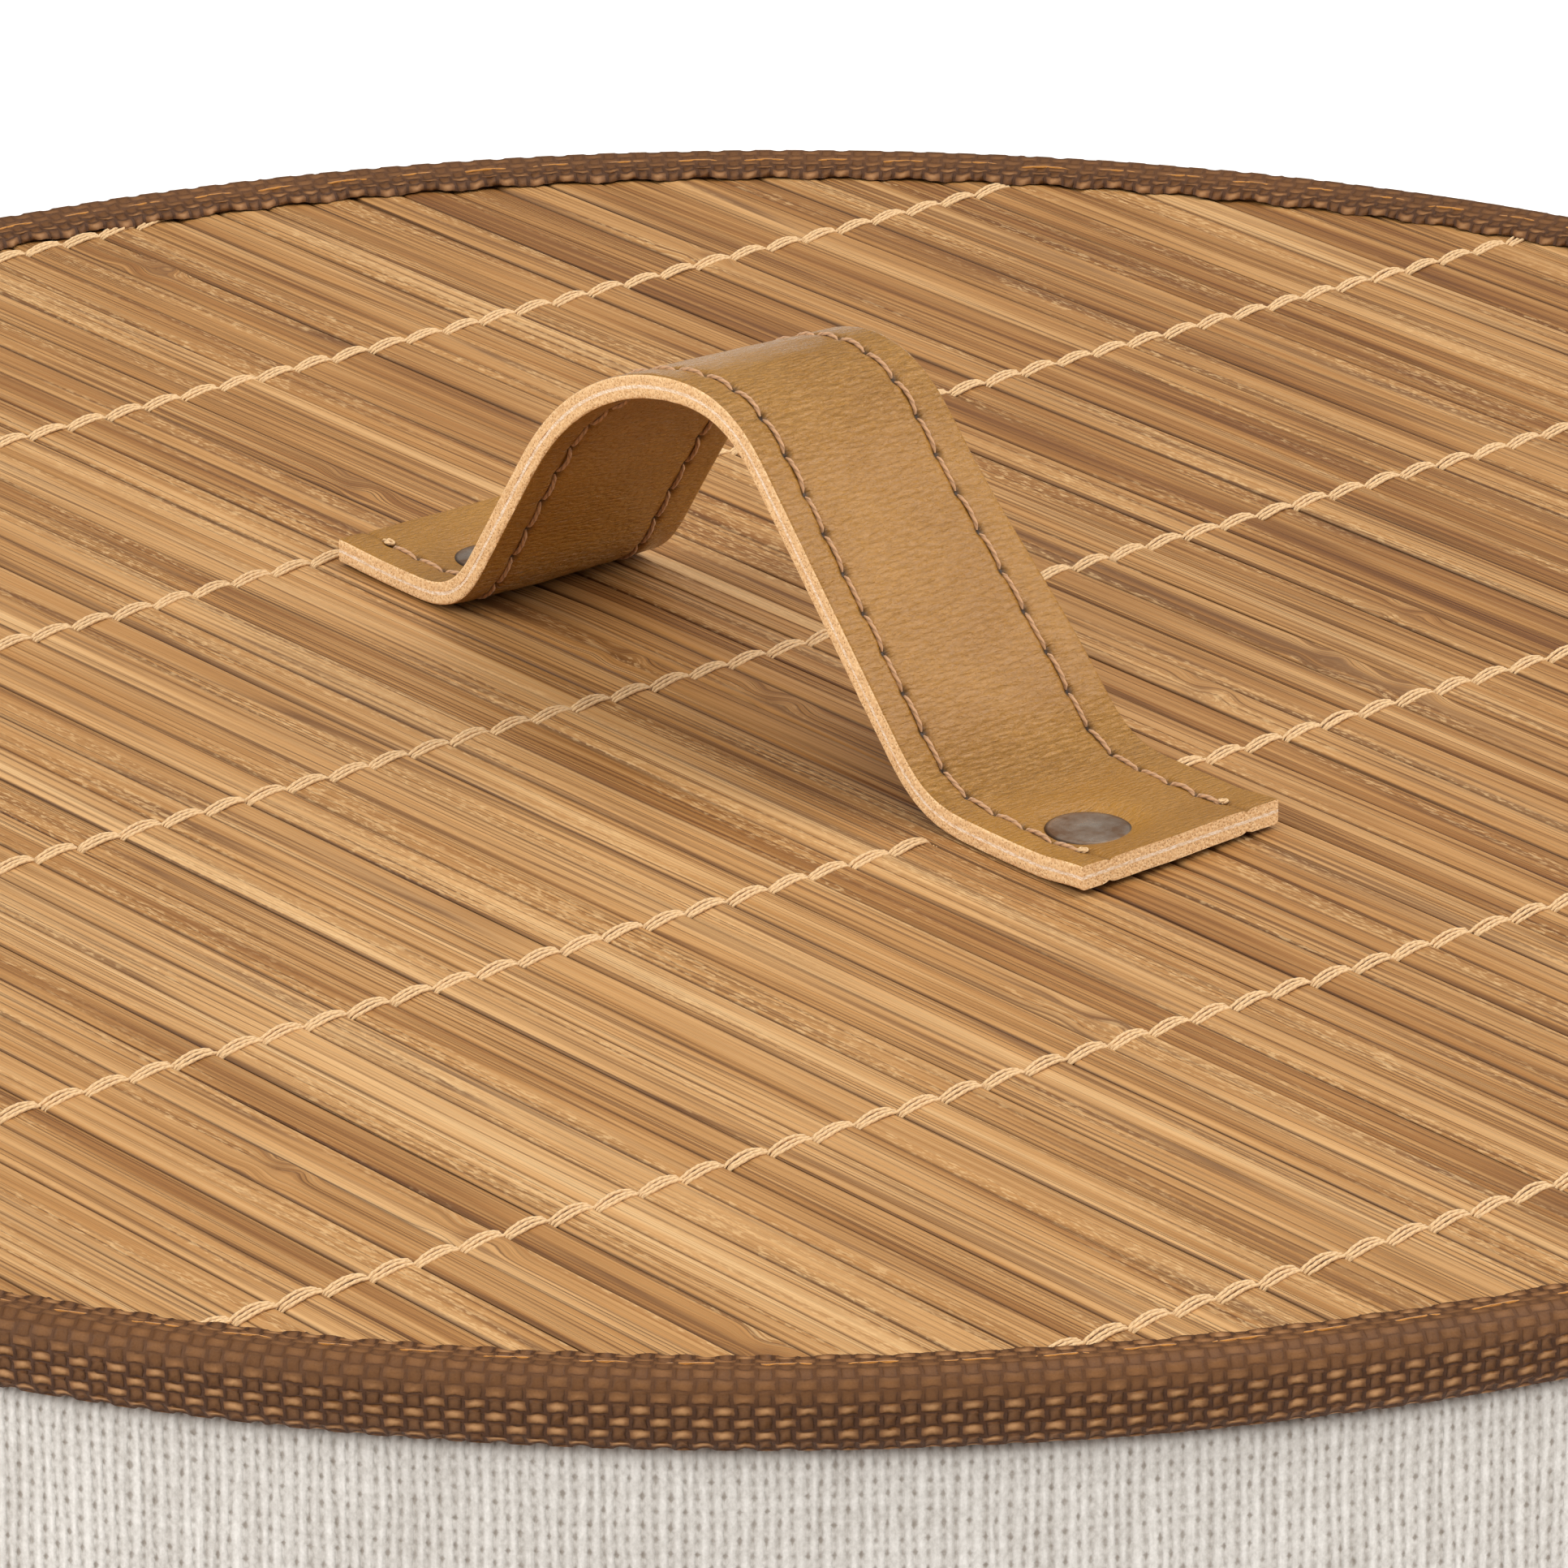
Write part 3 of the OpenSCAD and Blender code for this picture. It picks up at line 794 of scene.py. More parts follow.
def woven_ring(name, outer, inner, seed, body, replaces, scallop_at=None):
    """Tape folded round an edge. outer is the woven side's line in (radius, height) and inner the plain
    side's. The woven line starts at the tape's free edge, which scallops between stitches."""
    columns = TAPE_STEPS * 2 * round(math.pi * outer[:, 0].max() / TAPE_CELL)
    angle = np.arange(columns + 1) / columns * TURN
    line, reach = resample(outer, TAPE_ROW / TAPE_STEPS)
    out = -left_normals(line)[:, :, None]
    rows = len(line)
    held = np.sin(math.pi * np.linspace(0, 1, rows))[:, None]
    cells = np.arange(columns + 1) / TAPE_STEPS
    tape_v = reach[:, None] / TAPE_ROW + 0.35 * around_ripple(seed, 40, angle) * held + TAPE_FIRST_ROW
    # side is 0 on the tape's top and 1 down its side; it sets the relief and how strongly the webbing
    # shader paints the weave's shade
    side = smooth_step(line[:, 1].max() - line[:, 1], 1.3, 3.2)
    side = np.maximum(side * (reach > 3.4), 0.6 * (1 - smooth_step(reach, 1.8, 3.2)))
    lift = TAPE_RELIEF * (0.5 + 0.5 * side)[:, None] * (weave(cells, tape_v) - 0.85)
    lift += 0.09 * around_ripple(seed + 1, 120, angle) * held
    radius = line[:, :1] + out[:, 0] * lift
    z = np.maximum(line[:, 1:] + out[:, 1] * lift, 0.02)
    if scallop_at is not None:
        fade = np.exp(-(reach / 1.4) ** 2)[:, None]
        wave = 0.28 * np.cos(angle * scallop_at) + 0.30 * around_ripple(seed + 5, 90, angle)
        radius += fade * (wave + 0.16 * np.cos(TURN * cells))
        z += 0.12 * fade * np.cos(angle * scallop_at + 1.0)
    back_step = 3.0
    back, _ = resample(inner, back_step)
    back_v = (reach[-1] + back_step * np.arange(1, len(back) + 1)) / TAPE_ROW + TAPE_FIRST_ROW
    radius = np.concatenate([radius, each_way(back[:, 0], columns + 1)])
    z = np.concatenate([z, each_way(back[:, 1], columns + 1)])
    tape_v = np.concatenate([tape_v, each_way(back_v, columns + 1)])
    tape_side = each_way(np.concatenate([side, np.ones(len(back))]), columns + 1)
    tape = np.stack(np.broadcast_arrays(cells, tape_v, tape_side), -1).swapaxes(0, 1)
    points = spin(radius, angle, z).swapaxes(0, 1)
    quarter = columns // 4
    for k in range(4):
        part = slice(k * quarter, (k + 1) * quarter + 1 if k < 3 else columns + 1)
        make_piece(f"{name}_{k + 1}", points[part], tube_faces(*points[part].shape[:2]), body,
                   [WEBBING], {"tape": tape[part].reshape(-1, 3)},
                   replaces=replaces if k == 0 else (), sharp=80)


def make_lid_binding():
    """The tape round the lid's edge: it lies on the mat, turns round the edge and goes under the lining."""
    inner_r = LID_R - BINDING_W
    clear = 0.12
    top = LID_TOP_Z - clear
    low_z = LID_Z + clear
    outer_r = LID_R - clear
    outer = np.concatenate([
        [[inner_r, MAT_Z + clear], [inner_r + 0.1, MAT_Z + 0.6], [inner_r + 0.6, MAT_Z + 0.78],
         [inner_r + 1.9, MAT_Z + 0.95], [inner_r + 3.4, MAT_Z + 1.3]],
        arc_points((outer_r - 1.9, top - 1.9), 1.9, 90, 0, 9),
        arc_points((outer_r - 1.8, low_z + 1.8), 1.8, 0, -90, 9),
        [[inner_r + 0.4, low_z + 0.05]]])
    inner = np.array([
        [inner_r + 0.2, LINING_Z - 0.1], [CORE_R + 0.1, LINING_Z - 0.1],
        [CORE_R + 0.1, MAT_Z + 0.1], [inner_r + 0.3, MAT_Z + 0.1]])
    woven_ring("lid_binding_tape", outer, inner, 5, "lid", ("lid_binding",), scallop_at=EDGE_STITCHES)
    tubes = Tubes(0.16, sides=6, lay=1.2)
    draw = np.random.default_rng(31)
    radius = inner_r + 3.0
    share = 5.6 * EDGE_STITCHES / (TURN * radius)
    t = np.linspace(0, 1, 9)
    for k in range(EDGE_STITCHES):
        r = radius + draw.normal(0, 0.14) + 0.10 * np.sin(t * 5)
        z = MAT_Z + 1.10 + 0.16 * np.sin(math.pi * t) ** 0.7
        tubes.add(spin(r, TURN * (k + share * (t - 0.5)) / EDGE_STITCHES, z), (0, 0, 1))
    tubes.piece("lid_binding_stitches", "lid", "brown_webbing", AMBER_THREAD)


def make_base_binding():
    """The tape that closes the seam between the wall and the base."""
    outer_r = BASE_TAPE_R - 0.12
    outer = np.concatenate([
        [[WALL_R + 0.12, BASE_TAPE_H - 0.3], [WALL_R + 0.5, BASE_TAPE_H - 0.05],
         [outer_r - 0.1, BASE_TAPE_H - 0.4], [outer_r, BASE_TAPE_H - 1.2]],
        arc_points((outer_r - 1.0, 1.15), 1.0, 0, -90, 7),
        [[outer_r - 9.0, 0.15]]])
    inner = np.array([
        [outer_r - 9.0, BASE_FABRIC_Z - 0.1], [WALL_R + 0.1, BASE_FABRIC_Z - 0.1],
        [WALL_R + 0.1, BASE_TAPE_H - 0.6]])
    woven_ring("base_binding_tape", outer, inner, 11, "bin", ("base_binding",))
    tubes = Tubes(0.17, sides=6, lay=1.2)
    t = np.linspace(0, 1, 9)
    for k in range(EDGE_STITCHES):
        radius = outer_r + 0.10 + 0.10 * np.sin(math.pi * t)
        tubes.add(spin(radius, TURN * (k + 0.56 * t) / EDGE_STITCHES, BASE_TAPE_H - 2.1), (0, 0, 1))
    tubes.piece("base_binding_stitches", "bin", "brown_webbing", AMBER_THREAD)


# ---------------------------------------------------------------- straps

class Strap:
    """A riveted strap of two leather layers and a core, bent along a line of straight and round parts."""

    STEP = 0.3
    SOFTENING = 9
    CORE_HALF = 0.17
    STITCH_PITCH = 4.4
    RIM_POINTS = 5

    def __init__(self, bends, start, heading, to_world):
        self.to_world = to_world
        headings, lengths = [], []
        for length, turn in bends:
            count = max(1, round(length / self.STEP))
            headings += [heading + turn * (i + 0.5) / count for i in range(count)]
            lengths += [length / count] * count
            heading += turn
        headings = np.radians(headings)
        lengths = np.array(lengths)

        def steps():
            return np.stack([np.cos(headings), np.sin(headings)], 1) * lengths[:, None]

        end = steps().sum(0)
        window = 2 * self.SOFTENING + 1
        padded = np.pad(headings, self.SOFTENING, mode="edge")
        headings = np.convolve(padded, np.ones(window) / window, "valid")
        line = steps()
        line += (end - line.sum(0)) / len(line)
        self.line = np.concatenate([[start], start + np.cumsum(line, 0)])
        self.reach = np.concatenate([[0], np.cumsum(lengths)])
        self.left = left_normals(self.line)
        turn_rate = np.abs(np.gradient(np.concatenate([headings, headings[-1:]]), self.reach))
        self.bend = np.clip(turn_rate * 9, 0, 1)
        stitches = int((self.reach[-1] - 5.6) / self.STITCH_PITCH)
        first = (self.reach[-1] - stitches * self.STITCH_PITCH) / 2
        self.holes = first + self.STITCH_PITCH * np.arange(stitches + 1)

    def place(self, s, b, t):
        """World points from distance along, distance across and height above the middle layer."""
        s, b, t = np.broadcast_arrays(s, b, t)
        x, y = (np.interp(s, self.reach, self.line[:, k]) + np.interp(s, self.reach, self.left[:, k]) * t
                for k in range(2))
        return self.to_world(x, y, b)

    def layer(self, name, body, skin, base, rivets, rows, replaces):
        """One leather layer. skin and base are the heights of its smooth side and of its other side."""
        sign = math.copysign(1, skin)
        even = np.linspace(0.35, STRAP_W - 0.35, 46)
        close = [row + np.linspace(-0.75, 0.75, 9) for row in rows]
        b = np.unique(np.round(np.concatenate([even, *close]), 3))
        s, b = np.meshgrid(self.reach, b, indexing="ij")
        pit = np.zeros_like(s)
        sunk = np.zeros_like(s)
        for row in rows:
            # pit marks the stitch holes and a groove along each row: it sinks them, and the leather shader
            # paints them dark as shade
            pit = np.maximum(pit, 0.26 * np.exp(-((b - row) / 0.22) ** 2))
            sunk += 0.13 * np.exp(-((b - row) / 0.6) ** 2)
            for hole in self.holes:
                pit = np.maximum(pit, np.exp(-((s - hole) / 0.70) ** 2 - ((b - row) / 0.46) ** 2))
        sunk += 0.45 * pit
        for rivet_s, rivet_b in rivets:
            d = np.hypot(s - rivet_s, b - rivet_b)
            sunk += 0.62 * np.exp(-(d / 5.3) ** 4) - 0.16 * np.exp(-((d - 6.4) / 1.6) ** 2)
        sunk -= 0.035 * Ripple(91, 5.0, 1.3, 14)(s * 1.7, b * 0.6) * self.bend[:, None]
        top = skin - sign * sunk + 0.03 * Ripple(92, 22, 6, 8)(s, b)

        shares = np.array([0.0, 0.25, 0.5, 0.75, 0.93])
        rim = np.tile(base + (skin - base) * shares, (len(s), 1))
        rim_b = 0.10 * (shares == shares[-1]) * np.ones_like(rim)
        heights = np.concatenate([rim, top, rim[:, ::-1]], 1)
        across = np.concatenate([rim_b, b, STRAP_W - rim_b[:, ::-1]], 1)
        along = each_way(self.reach, across.shape[1])
        at_edge = (across < 0.05) | (across > STRAP_W - 0.05)
        across += np.where(at_edge, 0.05 * Ripple(95, 9, 1.5, 12)(along, heights * 3), 0)
        count = across.shape[1]
        cut = np.ones(count)
        cut[self.RIM_POINTS - 1:count - self.RIM_POINTS] = 0
        kinds = np.append(np.tile(cut, len(s) - 1), [1, 1]).astype(np.int32)
        pad = np.zeros((len(s), self.RIM_POINTS))
        attributes = {
            "pit": np.concatenate([pad, pit, pad], 1).ravel(),
            "bend": each_way(self.bend, count).ravel(),
            "strap": np.stack([across, along, 0 * along], -1).reshape(-1, 3)}
        make_piece(name, self.place(along, across, heights), tube_faces(len(s), count), body,
                   [LEATHER, CUT_EDGE], attributes, kinds, replaces, sharp=55)

    def core(self, name, body, replaces):
        across = np.array([0.02, STRAP_W - 0.02, STRAP_W - 0.02, 0.02])
        heights = np.array([-1, -1, 1, 1]) * self.CORE_HALF
        points = self.place(self.reach[:, None], across, heights)
        make_piece(name, points, tube_faces(len(points), 4), body, [CORE],
                   replaces=replaces)

    def stitches(self, name, body, rows):
        """Rows of lockstitch: a thread from each hole to the next, on both faces."""
        tubes = Tubes(0.21, sides=8, lay=1.1, lobe=0.14)
        draw = np.random.default_rng(len(name))
        t = np.linspace(0, 1, 11)
        rise = STRAP_T / 2 - 0.44 + 0.46 * np.sin(math.pi * t) ** 0.5
        for row in rows:
            for start, end in zip(self.holes[:-1], self.holes[1:]):
                for sign in (1, -1):
                    s = start + 0.25 + (end - start - 0.5) * t
                    b = row + 0.10 * np.sin(math.pi * t) * draw.normal() + 0.05 * (t - 0.5)
                    self.thread(tubes, s, b, sign * rise, sign, draw)
        tubes.piece(name, body, "cream_thread", SEAM_THREAD)

    def thread(self, tubes, s, b, height, sign, draw):
        """Adds one thread that lies on the strap's upper face (sign 1) or its lower face (-1)."""
        line = self.place(s, b, height)
        up = self.place(s, b, height + sign) - line
        tubes.add(line, up.mean(0), phase=draw.uniform(0, TURN))

    def build(self, prefix, body, outer_sign, rivets, rows, nodes):
        """Both layers, the core and the stitching. outer_sign is the side that its outer face is on."""
        outer, core, inner = nodes
        skin, base = outer_sign * STRAP_T / 2, outer_sign * self.CORE_HALF
        self.layer(f"{prefix}_outer_leather", body, skin, base, rivets, rows, (outer,))
        self.layer(f"{prefix}_inner_leather", body, -skin, -base, [], rows, (inner,))
        self.core(f"{prefix}_web", body, (core,))
        self.stitches(f"{prefix}_stitching", body, rows)


def thread_ends(strap, rows):
    """Where the lid strap's seams start and stop: a small knot and a short loose curl of thread."""
    tubes = Tubes(0.14, sides=7, lay=0.9)
    draw = np.random.default_rng(8)
    t = np.linspace(0, 1, 26)
    for row in rows:
        for hole, way in ((strap.holes[0], -1), (strap.holes[-1], 1)):
            for loop in range(3):
                turn = TURN * (1.3 * t + loop / 3)
                size = 0.45 * (1 - 0.25 * loop)
                s = hole + way * (0.3 + 0.9 * t * (loop == 2)) + size * np.cos(turn)
                b = row + 0.8 * size * np.sin(turn) + draw.normal(0, 0.15) * t
                height = STRAP_T / 2 - 0.12 + 0.25 * np.sin(math.pi * t) + 0.05 * loop
                strap.thread(tubes, s, b, height, 1, draw)
    t = np.linspace(0, 1, 40)
    radius = 1.5 * (1 - 0.55 * t)
    turn = 0.6 + TURN * 1.35 * t
    x = STRAP_X + 10.2 + 2.6 * t + radius * np.cos(turn)
    y = strap.line[-1][0] + 0.4 + 2.4 * t + radius * np.sin(turn)
    z = MAT_Z + 0.25 + 0.7 * np.sin(math.pi * t) + 0.5 * (1 - t)
    tubes.add(np.stack([x, y, z], 1), (0, 0, 1))
    tubes.piece("lid_strap_thread_ends", "lid", "cream_thread", MAT_THREAD)


def bend(radius, turn):
    return radius * math.radians(abs(turn)), turn


def lid_strap():
    """The strap over the lid, drawn from its front foot to its rear foot."""
    front_slope, rear_slope = 47.5, 56.0
    front_bend, crest_front, crest_rear, rear_bend = 11.5, 13.0, 32.0, 8.7
    front_foot, rear_foot = 19.0, 15.0
    base = STRAP_T / 2 + SKIN
    rise = STRAP_TOP_Z - MAT_Z - 0.1 - base

    def run(slope, r1, r2):
        slope = math.radians(slope)
        return (rise - (r1 + r2) * (1 - math.cos(slope))) / math.sin(slope)

    bends = [(front_foot, 0), bend(front_bend, front_slope),
             (run(front_slope, front_bend, crest_front), 0),
             bend(crest_front, -front_slope), bend(crest_rear, -rear_slope),
             (run(rear_slope, rear_bend, crest_rear), 0), bend(rear_bend, rear_slope), (rear_foot, 0)]

    def to_world(y, z, b):
        """The strap is not quite square: its far edge leans back over the front slope."""
        far = b / STRAP_W
        lean = 3.0 * far * smooth_step(z, 6, 27) * smooth_step(-y, -14, 4)
        droop = 0.9 * far * smooth_step(z, 10, 34)
        skew = 1.7 * far * smooth_step(-y, 48, 61)
        tip = 0.5 * smooth_step(-y, 54, 61) + 0.15 * smooth_step(y, 50, 57)
        down = press(STRAP_X + b, y) * smooth_step(8 - z, 0, 5)
        return np.stack([STRAP_X + b, y + lean + skew, MAT_Z + z - droop + tip - down], -1)

    return Strap(bends, np.array([STRAP_FRONT_Y, base]), 0.0, to_world)


def side_strap(side):
    """A side handle, drawn in plan from one foot to the other, anticlockwise."""
    slope, bend_r, crest_r = 50.0, 12.0, 38.0
    foot_r = WALL_R + 2 * SKIN + STRAP_T / 2
    sin_slope = math.sin(math.radians(slope))
    sin_foot = math.sin(math.radians(SIDE_FOOT_START))
    run = foot_r * sin_foot - crest_r * sin_slope - bend_r * (sin_slope - sin_foot)
    run /= math.cos(math.radians(slope))
    half = [bend(foot_r, SIDE_FOOT_TURN), bend(bend_r, SIDE_FOOT_START - slope), (run, 0)]
    bends = half + [bend(crest_r, 2 * slope)] + half[::-1]
    turn = SIDE_FOOT_START + SIDE_FOOT_TURN
    start = foot_r * np.array([math.cos(math.radians(turn)), -math.sin(math.radians(turn))])

    def to_world(x, y, b):
        """The handle hangs a little lower away from the wall."""
        droop = 1.1 * smooth_step(x, 178, 196)
        return np.stack([side * x, side * y, SIDE_HANDLE_Z - STRAP_W / 2 + b - droop], -1)

    return Strap(bends, start, 90 - turn, to_world)


def rivet_outline(length):
    """Half section of a flat-capped rivet, its cap's underside at height 0."""
    cap_r, cap_t, post_r = 4.35, 0.8, 1.6
    edge = arc_points((cap_r - 0.35, cap_t - 0.42), 0.35, -20, 75, 7)
    crown = [[r, cap_t - 0.02 * (r / cap_r) ** 2] for r in (3.4, 2.4, 1.2)]
    return np.array([[post_r, -length], [post_r, 0], [cap_r - 0.15, 0], *edge, *crown])


def make_rivets(name, body, length, places, replaces):
    """Turned rivets, one for each place, joined in one mesh."""
    sides = 72
    outline = rivet_outline(length)
    angle = np.arange(sides) / sides * TURN
    rings = spin(outline[:, :1], angle, outline[:, 1:])
    points, faces = [], []
    for k, place in enumerate(places):
        turned = np.array(place.to_3x3())
        points.append(rings @ turned.T + np.array(place.translation))
        faces += tube_faces(len(outline), sides, first=k * len(outline) * sides)
    to_edge = np.tile(np.repeat(outline[:, 0], sides) / 5, len(places))
    make_piece(name, points, faces, body, [BRONZE], {"turned": to_edge},
               replaces=replaces, sharp=40)


def make_straps():
    """The strap on the lid, the two side handles, and all their rivets."""
    strap = lid_strap()
    end = strap.reach[-1]
    rivets = [(y - STRAP_FRONT_Y if y < 0 else end - (strap.line[-1][0] - y), x - STRAP_X)
              for x, y in LID_RIVETS]
    rows = [3.6, STRAP_W - 4.2]
    strap.build("lid_strap", "lid", 1, rivets, rows,
                ("lid_handle_top_layer", "lid_handle_core", "lid_handle_bottom_layer"))
    thread_ends(strap, rows)
    cap_z = MAT_Z + STRAP_T + SKIN - RIVET_SINK - 0.75
    places = [Matrix.Translation((x, y, cap_z)) @ Matrix.Rotation(math.radians(tilt), 4, "X")
              for (x, y), tilt in zip(LID_RIVETS, (1.5, -1.0))]
    make_rivets("lid_strap_rivets", "lid", cap_z - LINING_Z + 0.5, places, ("lid_rivets",))

    places = []
    cap_r = WALL_R + 2 * SKIN + STRAP_T - RIVET_SINK
    rivet_turn = math.radians(SIDE_FOOT_START + SIDE_FOOT_TURN / 2)
    foot = math.radians(SIDE_FOOT_TURN / 2) * (WALL_R + 2 * SKIN + STRAP_T / 2)
    for side, word in ((-1, "left"), (1, "right")):
        strap = side_strap(side)
        rivets = [(foot, STRAP_W / 2), (strap.reach[-1] - foot, STRAP_W / 2)]
        strap.build(f"{word}_handle", "bin", -1, rivets, [3.9, STRAP_W - 3.9],
                    [f"{word}_handle_{part}" for part in ("outer_layer", "core", "inner_layer")])
        facing = math.pi if side < 0 else 0.0
        for turn in (-rivet_turn, rivet_turn):
            places.append(Matrix.Rotation(facing + turn, 4, "Z")
                          @ Matrix.Translation((cap_r, 0, SIDE_HANDLE_Z))
                          @ Matrix.Rotation(math.pi / 2, 4, "Y"))
    make_rivets("side_handle_rivets", "bin", cap_r - INTERIOR_R + 0.4, places, ("side_rivets",))


# ---------------------------------------------------------------- cloth

def cloth_wall(name, line, thickness, overlap, uneven, material, seed, replaces, columns):
    """Cloth rolled into a wall with a lapped seam at the back. line is its middle in (radius, height)."""
    out = -left_normals(line)[:, :, None]
    mean_r = line[:, 0].mean()
    total = TURN + overlap / mean_r
    angle = np.linspace(0, total, columns)
    around = angle * mean_r
    reach = reach_along(line)
    lap = thickness * 0.9 * smooth_step(angle, TURN - 3 / mean_r, TURN)
    soft = Ripple(seed, 160, 22, 16)
    held = smooth_step(reach, 0, 14) * smooth_step(reach[-1] - reach, 0, 14)
    shift = uneven * soft(around, reach[:, None]) * held[:, None] + lap
    rows = len(line)
    size = rows * columns
    layers = [shift + side * thickness for side in (0.5, -0.5)]
    points = [spin(line[:, :1] + out[:, 0] * d, angle + BACK_SEAM, line[:, 1:] + out[:, 1] * d)
              for d in layers]
    faces = grid_faces(rows, columns) + grid_faces(rows, columns, first=size)
    grid = np.arange(size).reshape(rows, columns)
    rim = np.concatenate([grid[0], grid[1:, -1], grid[-1, -2::-1], grid[-2:0:-1, 0]]).tolist()
    faces += [[a, a + size, b + size, b] for a, b in zip(rim, rim[1:] + rim[:1])]
    cloth = np.stack(np.broadcast_arrays(around, reach[:, None], 0.0), -1).reshape(-1, 3)
    piece = make_piece(name, points, faces, "bin", [material],
                       {"cloth": np.tile(cloth, (2, 1))}, replaces=replaces, sharp=70)


def cloth_disc(name, radius, z, thickness, uneven, body, material, seed, replaces):
    """A round cloth, slightly uneven, with two faces and a rim."""
    sides, rings = 240, 59
    r = radius * np.sqrt(np.linspace(0, 1, rings + 1))[1:, None]
    angle = np.arange(sides) / sides * TURN
    soft = Ripple(seed, 120, 18, 14)
    wave = uneven * soft(r * np.cos(angle), r * np.sin(angle)) * smooth_step(radius - r, 0, 10)
    middle = uneven * soft(0, 0)
    size = rings * sides
    last = size - sides
    points = np.concatenate([spin(r, angle, z + thickness + wave).reshape(-1, 3),
                             spin(r, angle, z + wave).reshape(-1, 3),
                             [[0, 0, z + thickness + middle], [0, 0, z + middle]]])
    faces = grid_faces(rings, sides, wrap_columns=True)
    faces += grid_faces(rings, sides, wrap_columns=True, first=size)
    for j in range(sides):
        k = (j + 1) % sides
        faces.append([2 * size, j, k])
        faces.append([2 * size + 1, size + k, size + j])
        faces.append([last + j, last + size + j, last + size + k, last + k])
    piece = make_piece(name, points, faces, body, [material], {"cloth": points * [1, 1, 0]},
                       replaces=replaces, sharp=70)


def make_cloths():
    """The outer fabric goes up the wall, over the rim wire and down inside as a facing. The lining and
    three round cloths cover the inside, the base and the lid's underside."""
    mid_r = WALL_R - FABRIC_T / 2
    hoop_gap = RIM_Z - FABRIC_T / 2 - HOOP_Z
    line = np.concatenate([
        np.stack([np.full(58, mid_r), np.linspace(WALL_BASE_Z, RIM_Z - 3.4, 58)], 1),
        arc_points((mid_r - 1.2, RIM_Z - FABRIC_T / 2 - 1.2), 1.2, 0, 90, 6),
        arc_points((HOOP_R, HOOP_Z), hoop_gap, 90, 180, 9),
        np.stack([np.full(8, HOOP_R - hoop_gap), np.linspace(HOOP_Z - 2, RIM_Z - FACING_DEPTH, 8)], 1)])
    cloth_wall("outer_cloth", line, FABRIC_T, 12.0, 0.16, LINEN, 41, ("outer_fabric",),
               columns=600)
    line = np.stack([np.full(40, INTERIOR_R + LINING_T / 2),
                     np.linspace(WALL_BASE_Z + 0.1, LINING_TOP_Z, 40)], 1)
    cloth_wall("lining_cloth", line, LINING_T * 0.8, 8.0, 0.10, LINING, 43,
               ("inner_lining",), columns=420)
    cloth_disc("base_lining_cloth", INTERIOR_R - 0.3, BASE_LINING_Z, LINING_T, 0.12, "bin",
               LINING, 44, ("base_lining",))
    cloth_disc("base_cloth", WALL_R - 0.1, BASE_FABRIC_Z, FABRIC_T, 0.06, "bin",
               LINEN, 45, ("base_fabric",))
    cloth_disc("lid_lining_cloth", CORE_R - 0.1, LINING_Z, 0.38, 0.0, "lid",
               LINING, 46, ("lid_lining",))


def make_seam_stitches():
    """Stitches along the lapped back seam, and round the facing inside the rim."""
    t = np.linspace(0, 1, 8)
    arch = np.sin(math.pi * t) ** 0.6
    pitch, share = 3.6, 0.72
    tubes = Tubes(0.2, sides=6, lay=1.4)
    for offset in (4.0, 9.0):
        angle = BACK_SEAM + offset / WALL_R
        for k in range(int((RIM_Z - 18) / pitch)):
            z = WALL_BASE_Z + 9 + pitch * (k + share * t)
            tubes.add(spin(WALL_R + 0.44 + 0.34 * arch, angle, z), spin(1.0, angle, 0.0))
    tubes.piece("back_seam_stitches", "bin", "linen_fabric", LINEN_THREAD)
    tubes = Tubes(0.2, sides=6, lay=1.4)
    hem_r = HOOP_R - (RIM_Z - FABRIC_T / 2 - HOOP_Z) - 0.4
    count = round(TURN * hem_r / pitch)
    for k in range(count):
        angle = TURN * (k + share * t) / count
        tubes.add(spin(hem_r + 0.14 - 0.3 * arch, angle, RIM_Z - FACING_DEPTH + 2.5), (0, 0, 1))
    tubes.piece("facing_stitches", "bin", "linen_fabric", LINEN_THREAD)


def make_ring_cover():
    """Cloth folded round the locating ring, slightly gathered."""
    sides = 480
    angle = np.arange(sides) / sides * TURN
    out_r, in_r = RING_R + 0.4, RING_R - 2.4
    top, low_z = LINING_Z - 0.05, RING_LOW_Z - 0.4
    mid = (out_r + in_r) / 2
    cloth_t = 0.35
    outside = np.concatenate([
        [[out_r, top], [out_r, (top + low_z) / 2]],
        arc_points((mid, low_z + 1.4), 1.4, 0, -180, 9),
        [[in_r, (top + low_z) / 2], [in_r, top]]])
    inside = [[in_r + cloth_t, top], [in_r + cloth_t, low_z + 0.4],
              [out_r - cloth_t, low_z + 0.4], [out_r - cloth_t, top]]
    section = np.concatenate([outside, inside])
    gathers = np.sign(section[:, :1] - mid)
    gathers[len(outside):] = 0
    radius = section[:, :1] + gathers * 0.10 * around_ripple(61, 160, angle)
    faces = grid_faces(len(section), sides, wrap_rows=True, wrap_columns=True)
    cloth = np.stack(np.broadcast_arrays(angle * mid, section[:, 1:], 0.0), -1).reshape(-1, 3)
    piece = make_piece("ring_cover_cloth", spin(radius, angle, section[:, 1:]), faces, "lid",
                       [LINING], {"cloth": cloth}, replaces=("locating_ring_cover",),
                       sharp=70)
    TURN * mid * MM


def finish_cad_nodes():
    """Better materials on the CAD nodes that stay."""
    kinds = {"fibreboard": BOARD, "steel_wire": STEEL, "bronze": BRONZE}
    for row in frame["record"]["subparts"]:
        if row["material_slot"] in kinds:
            node = frame["nodes"][row["node"]]
            node.data.materials.clear()
            node.data.materials.append(kinds[row["material_slot"]])


# ---------------------------------------------------------------- studio

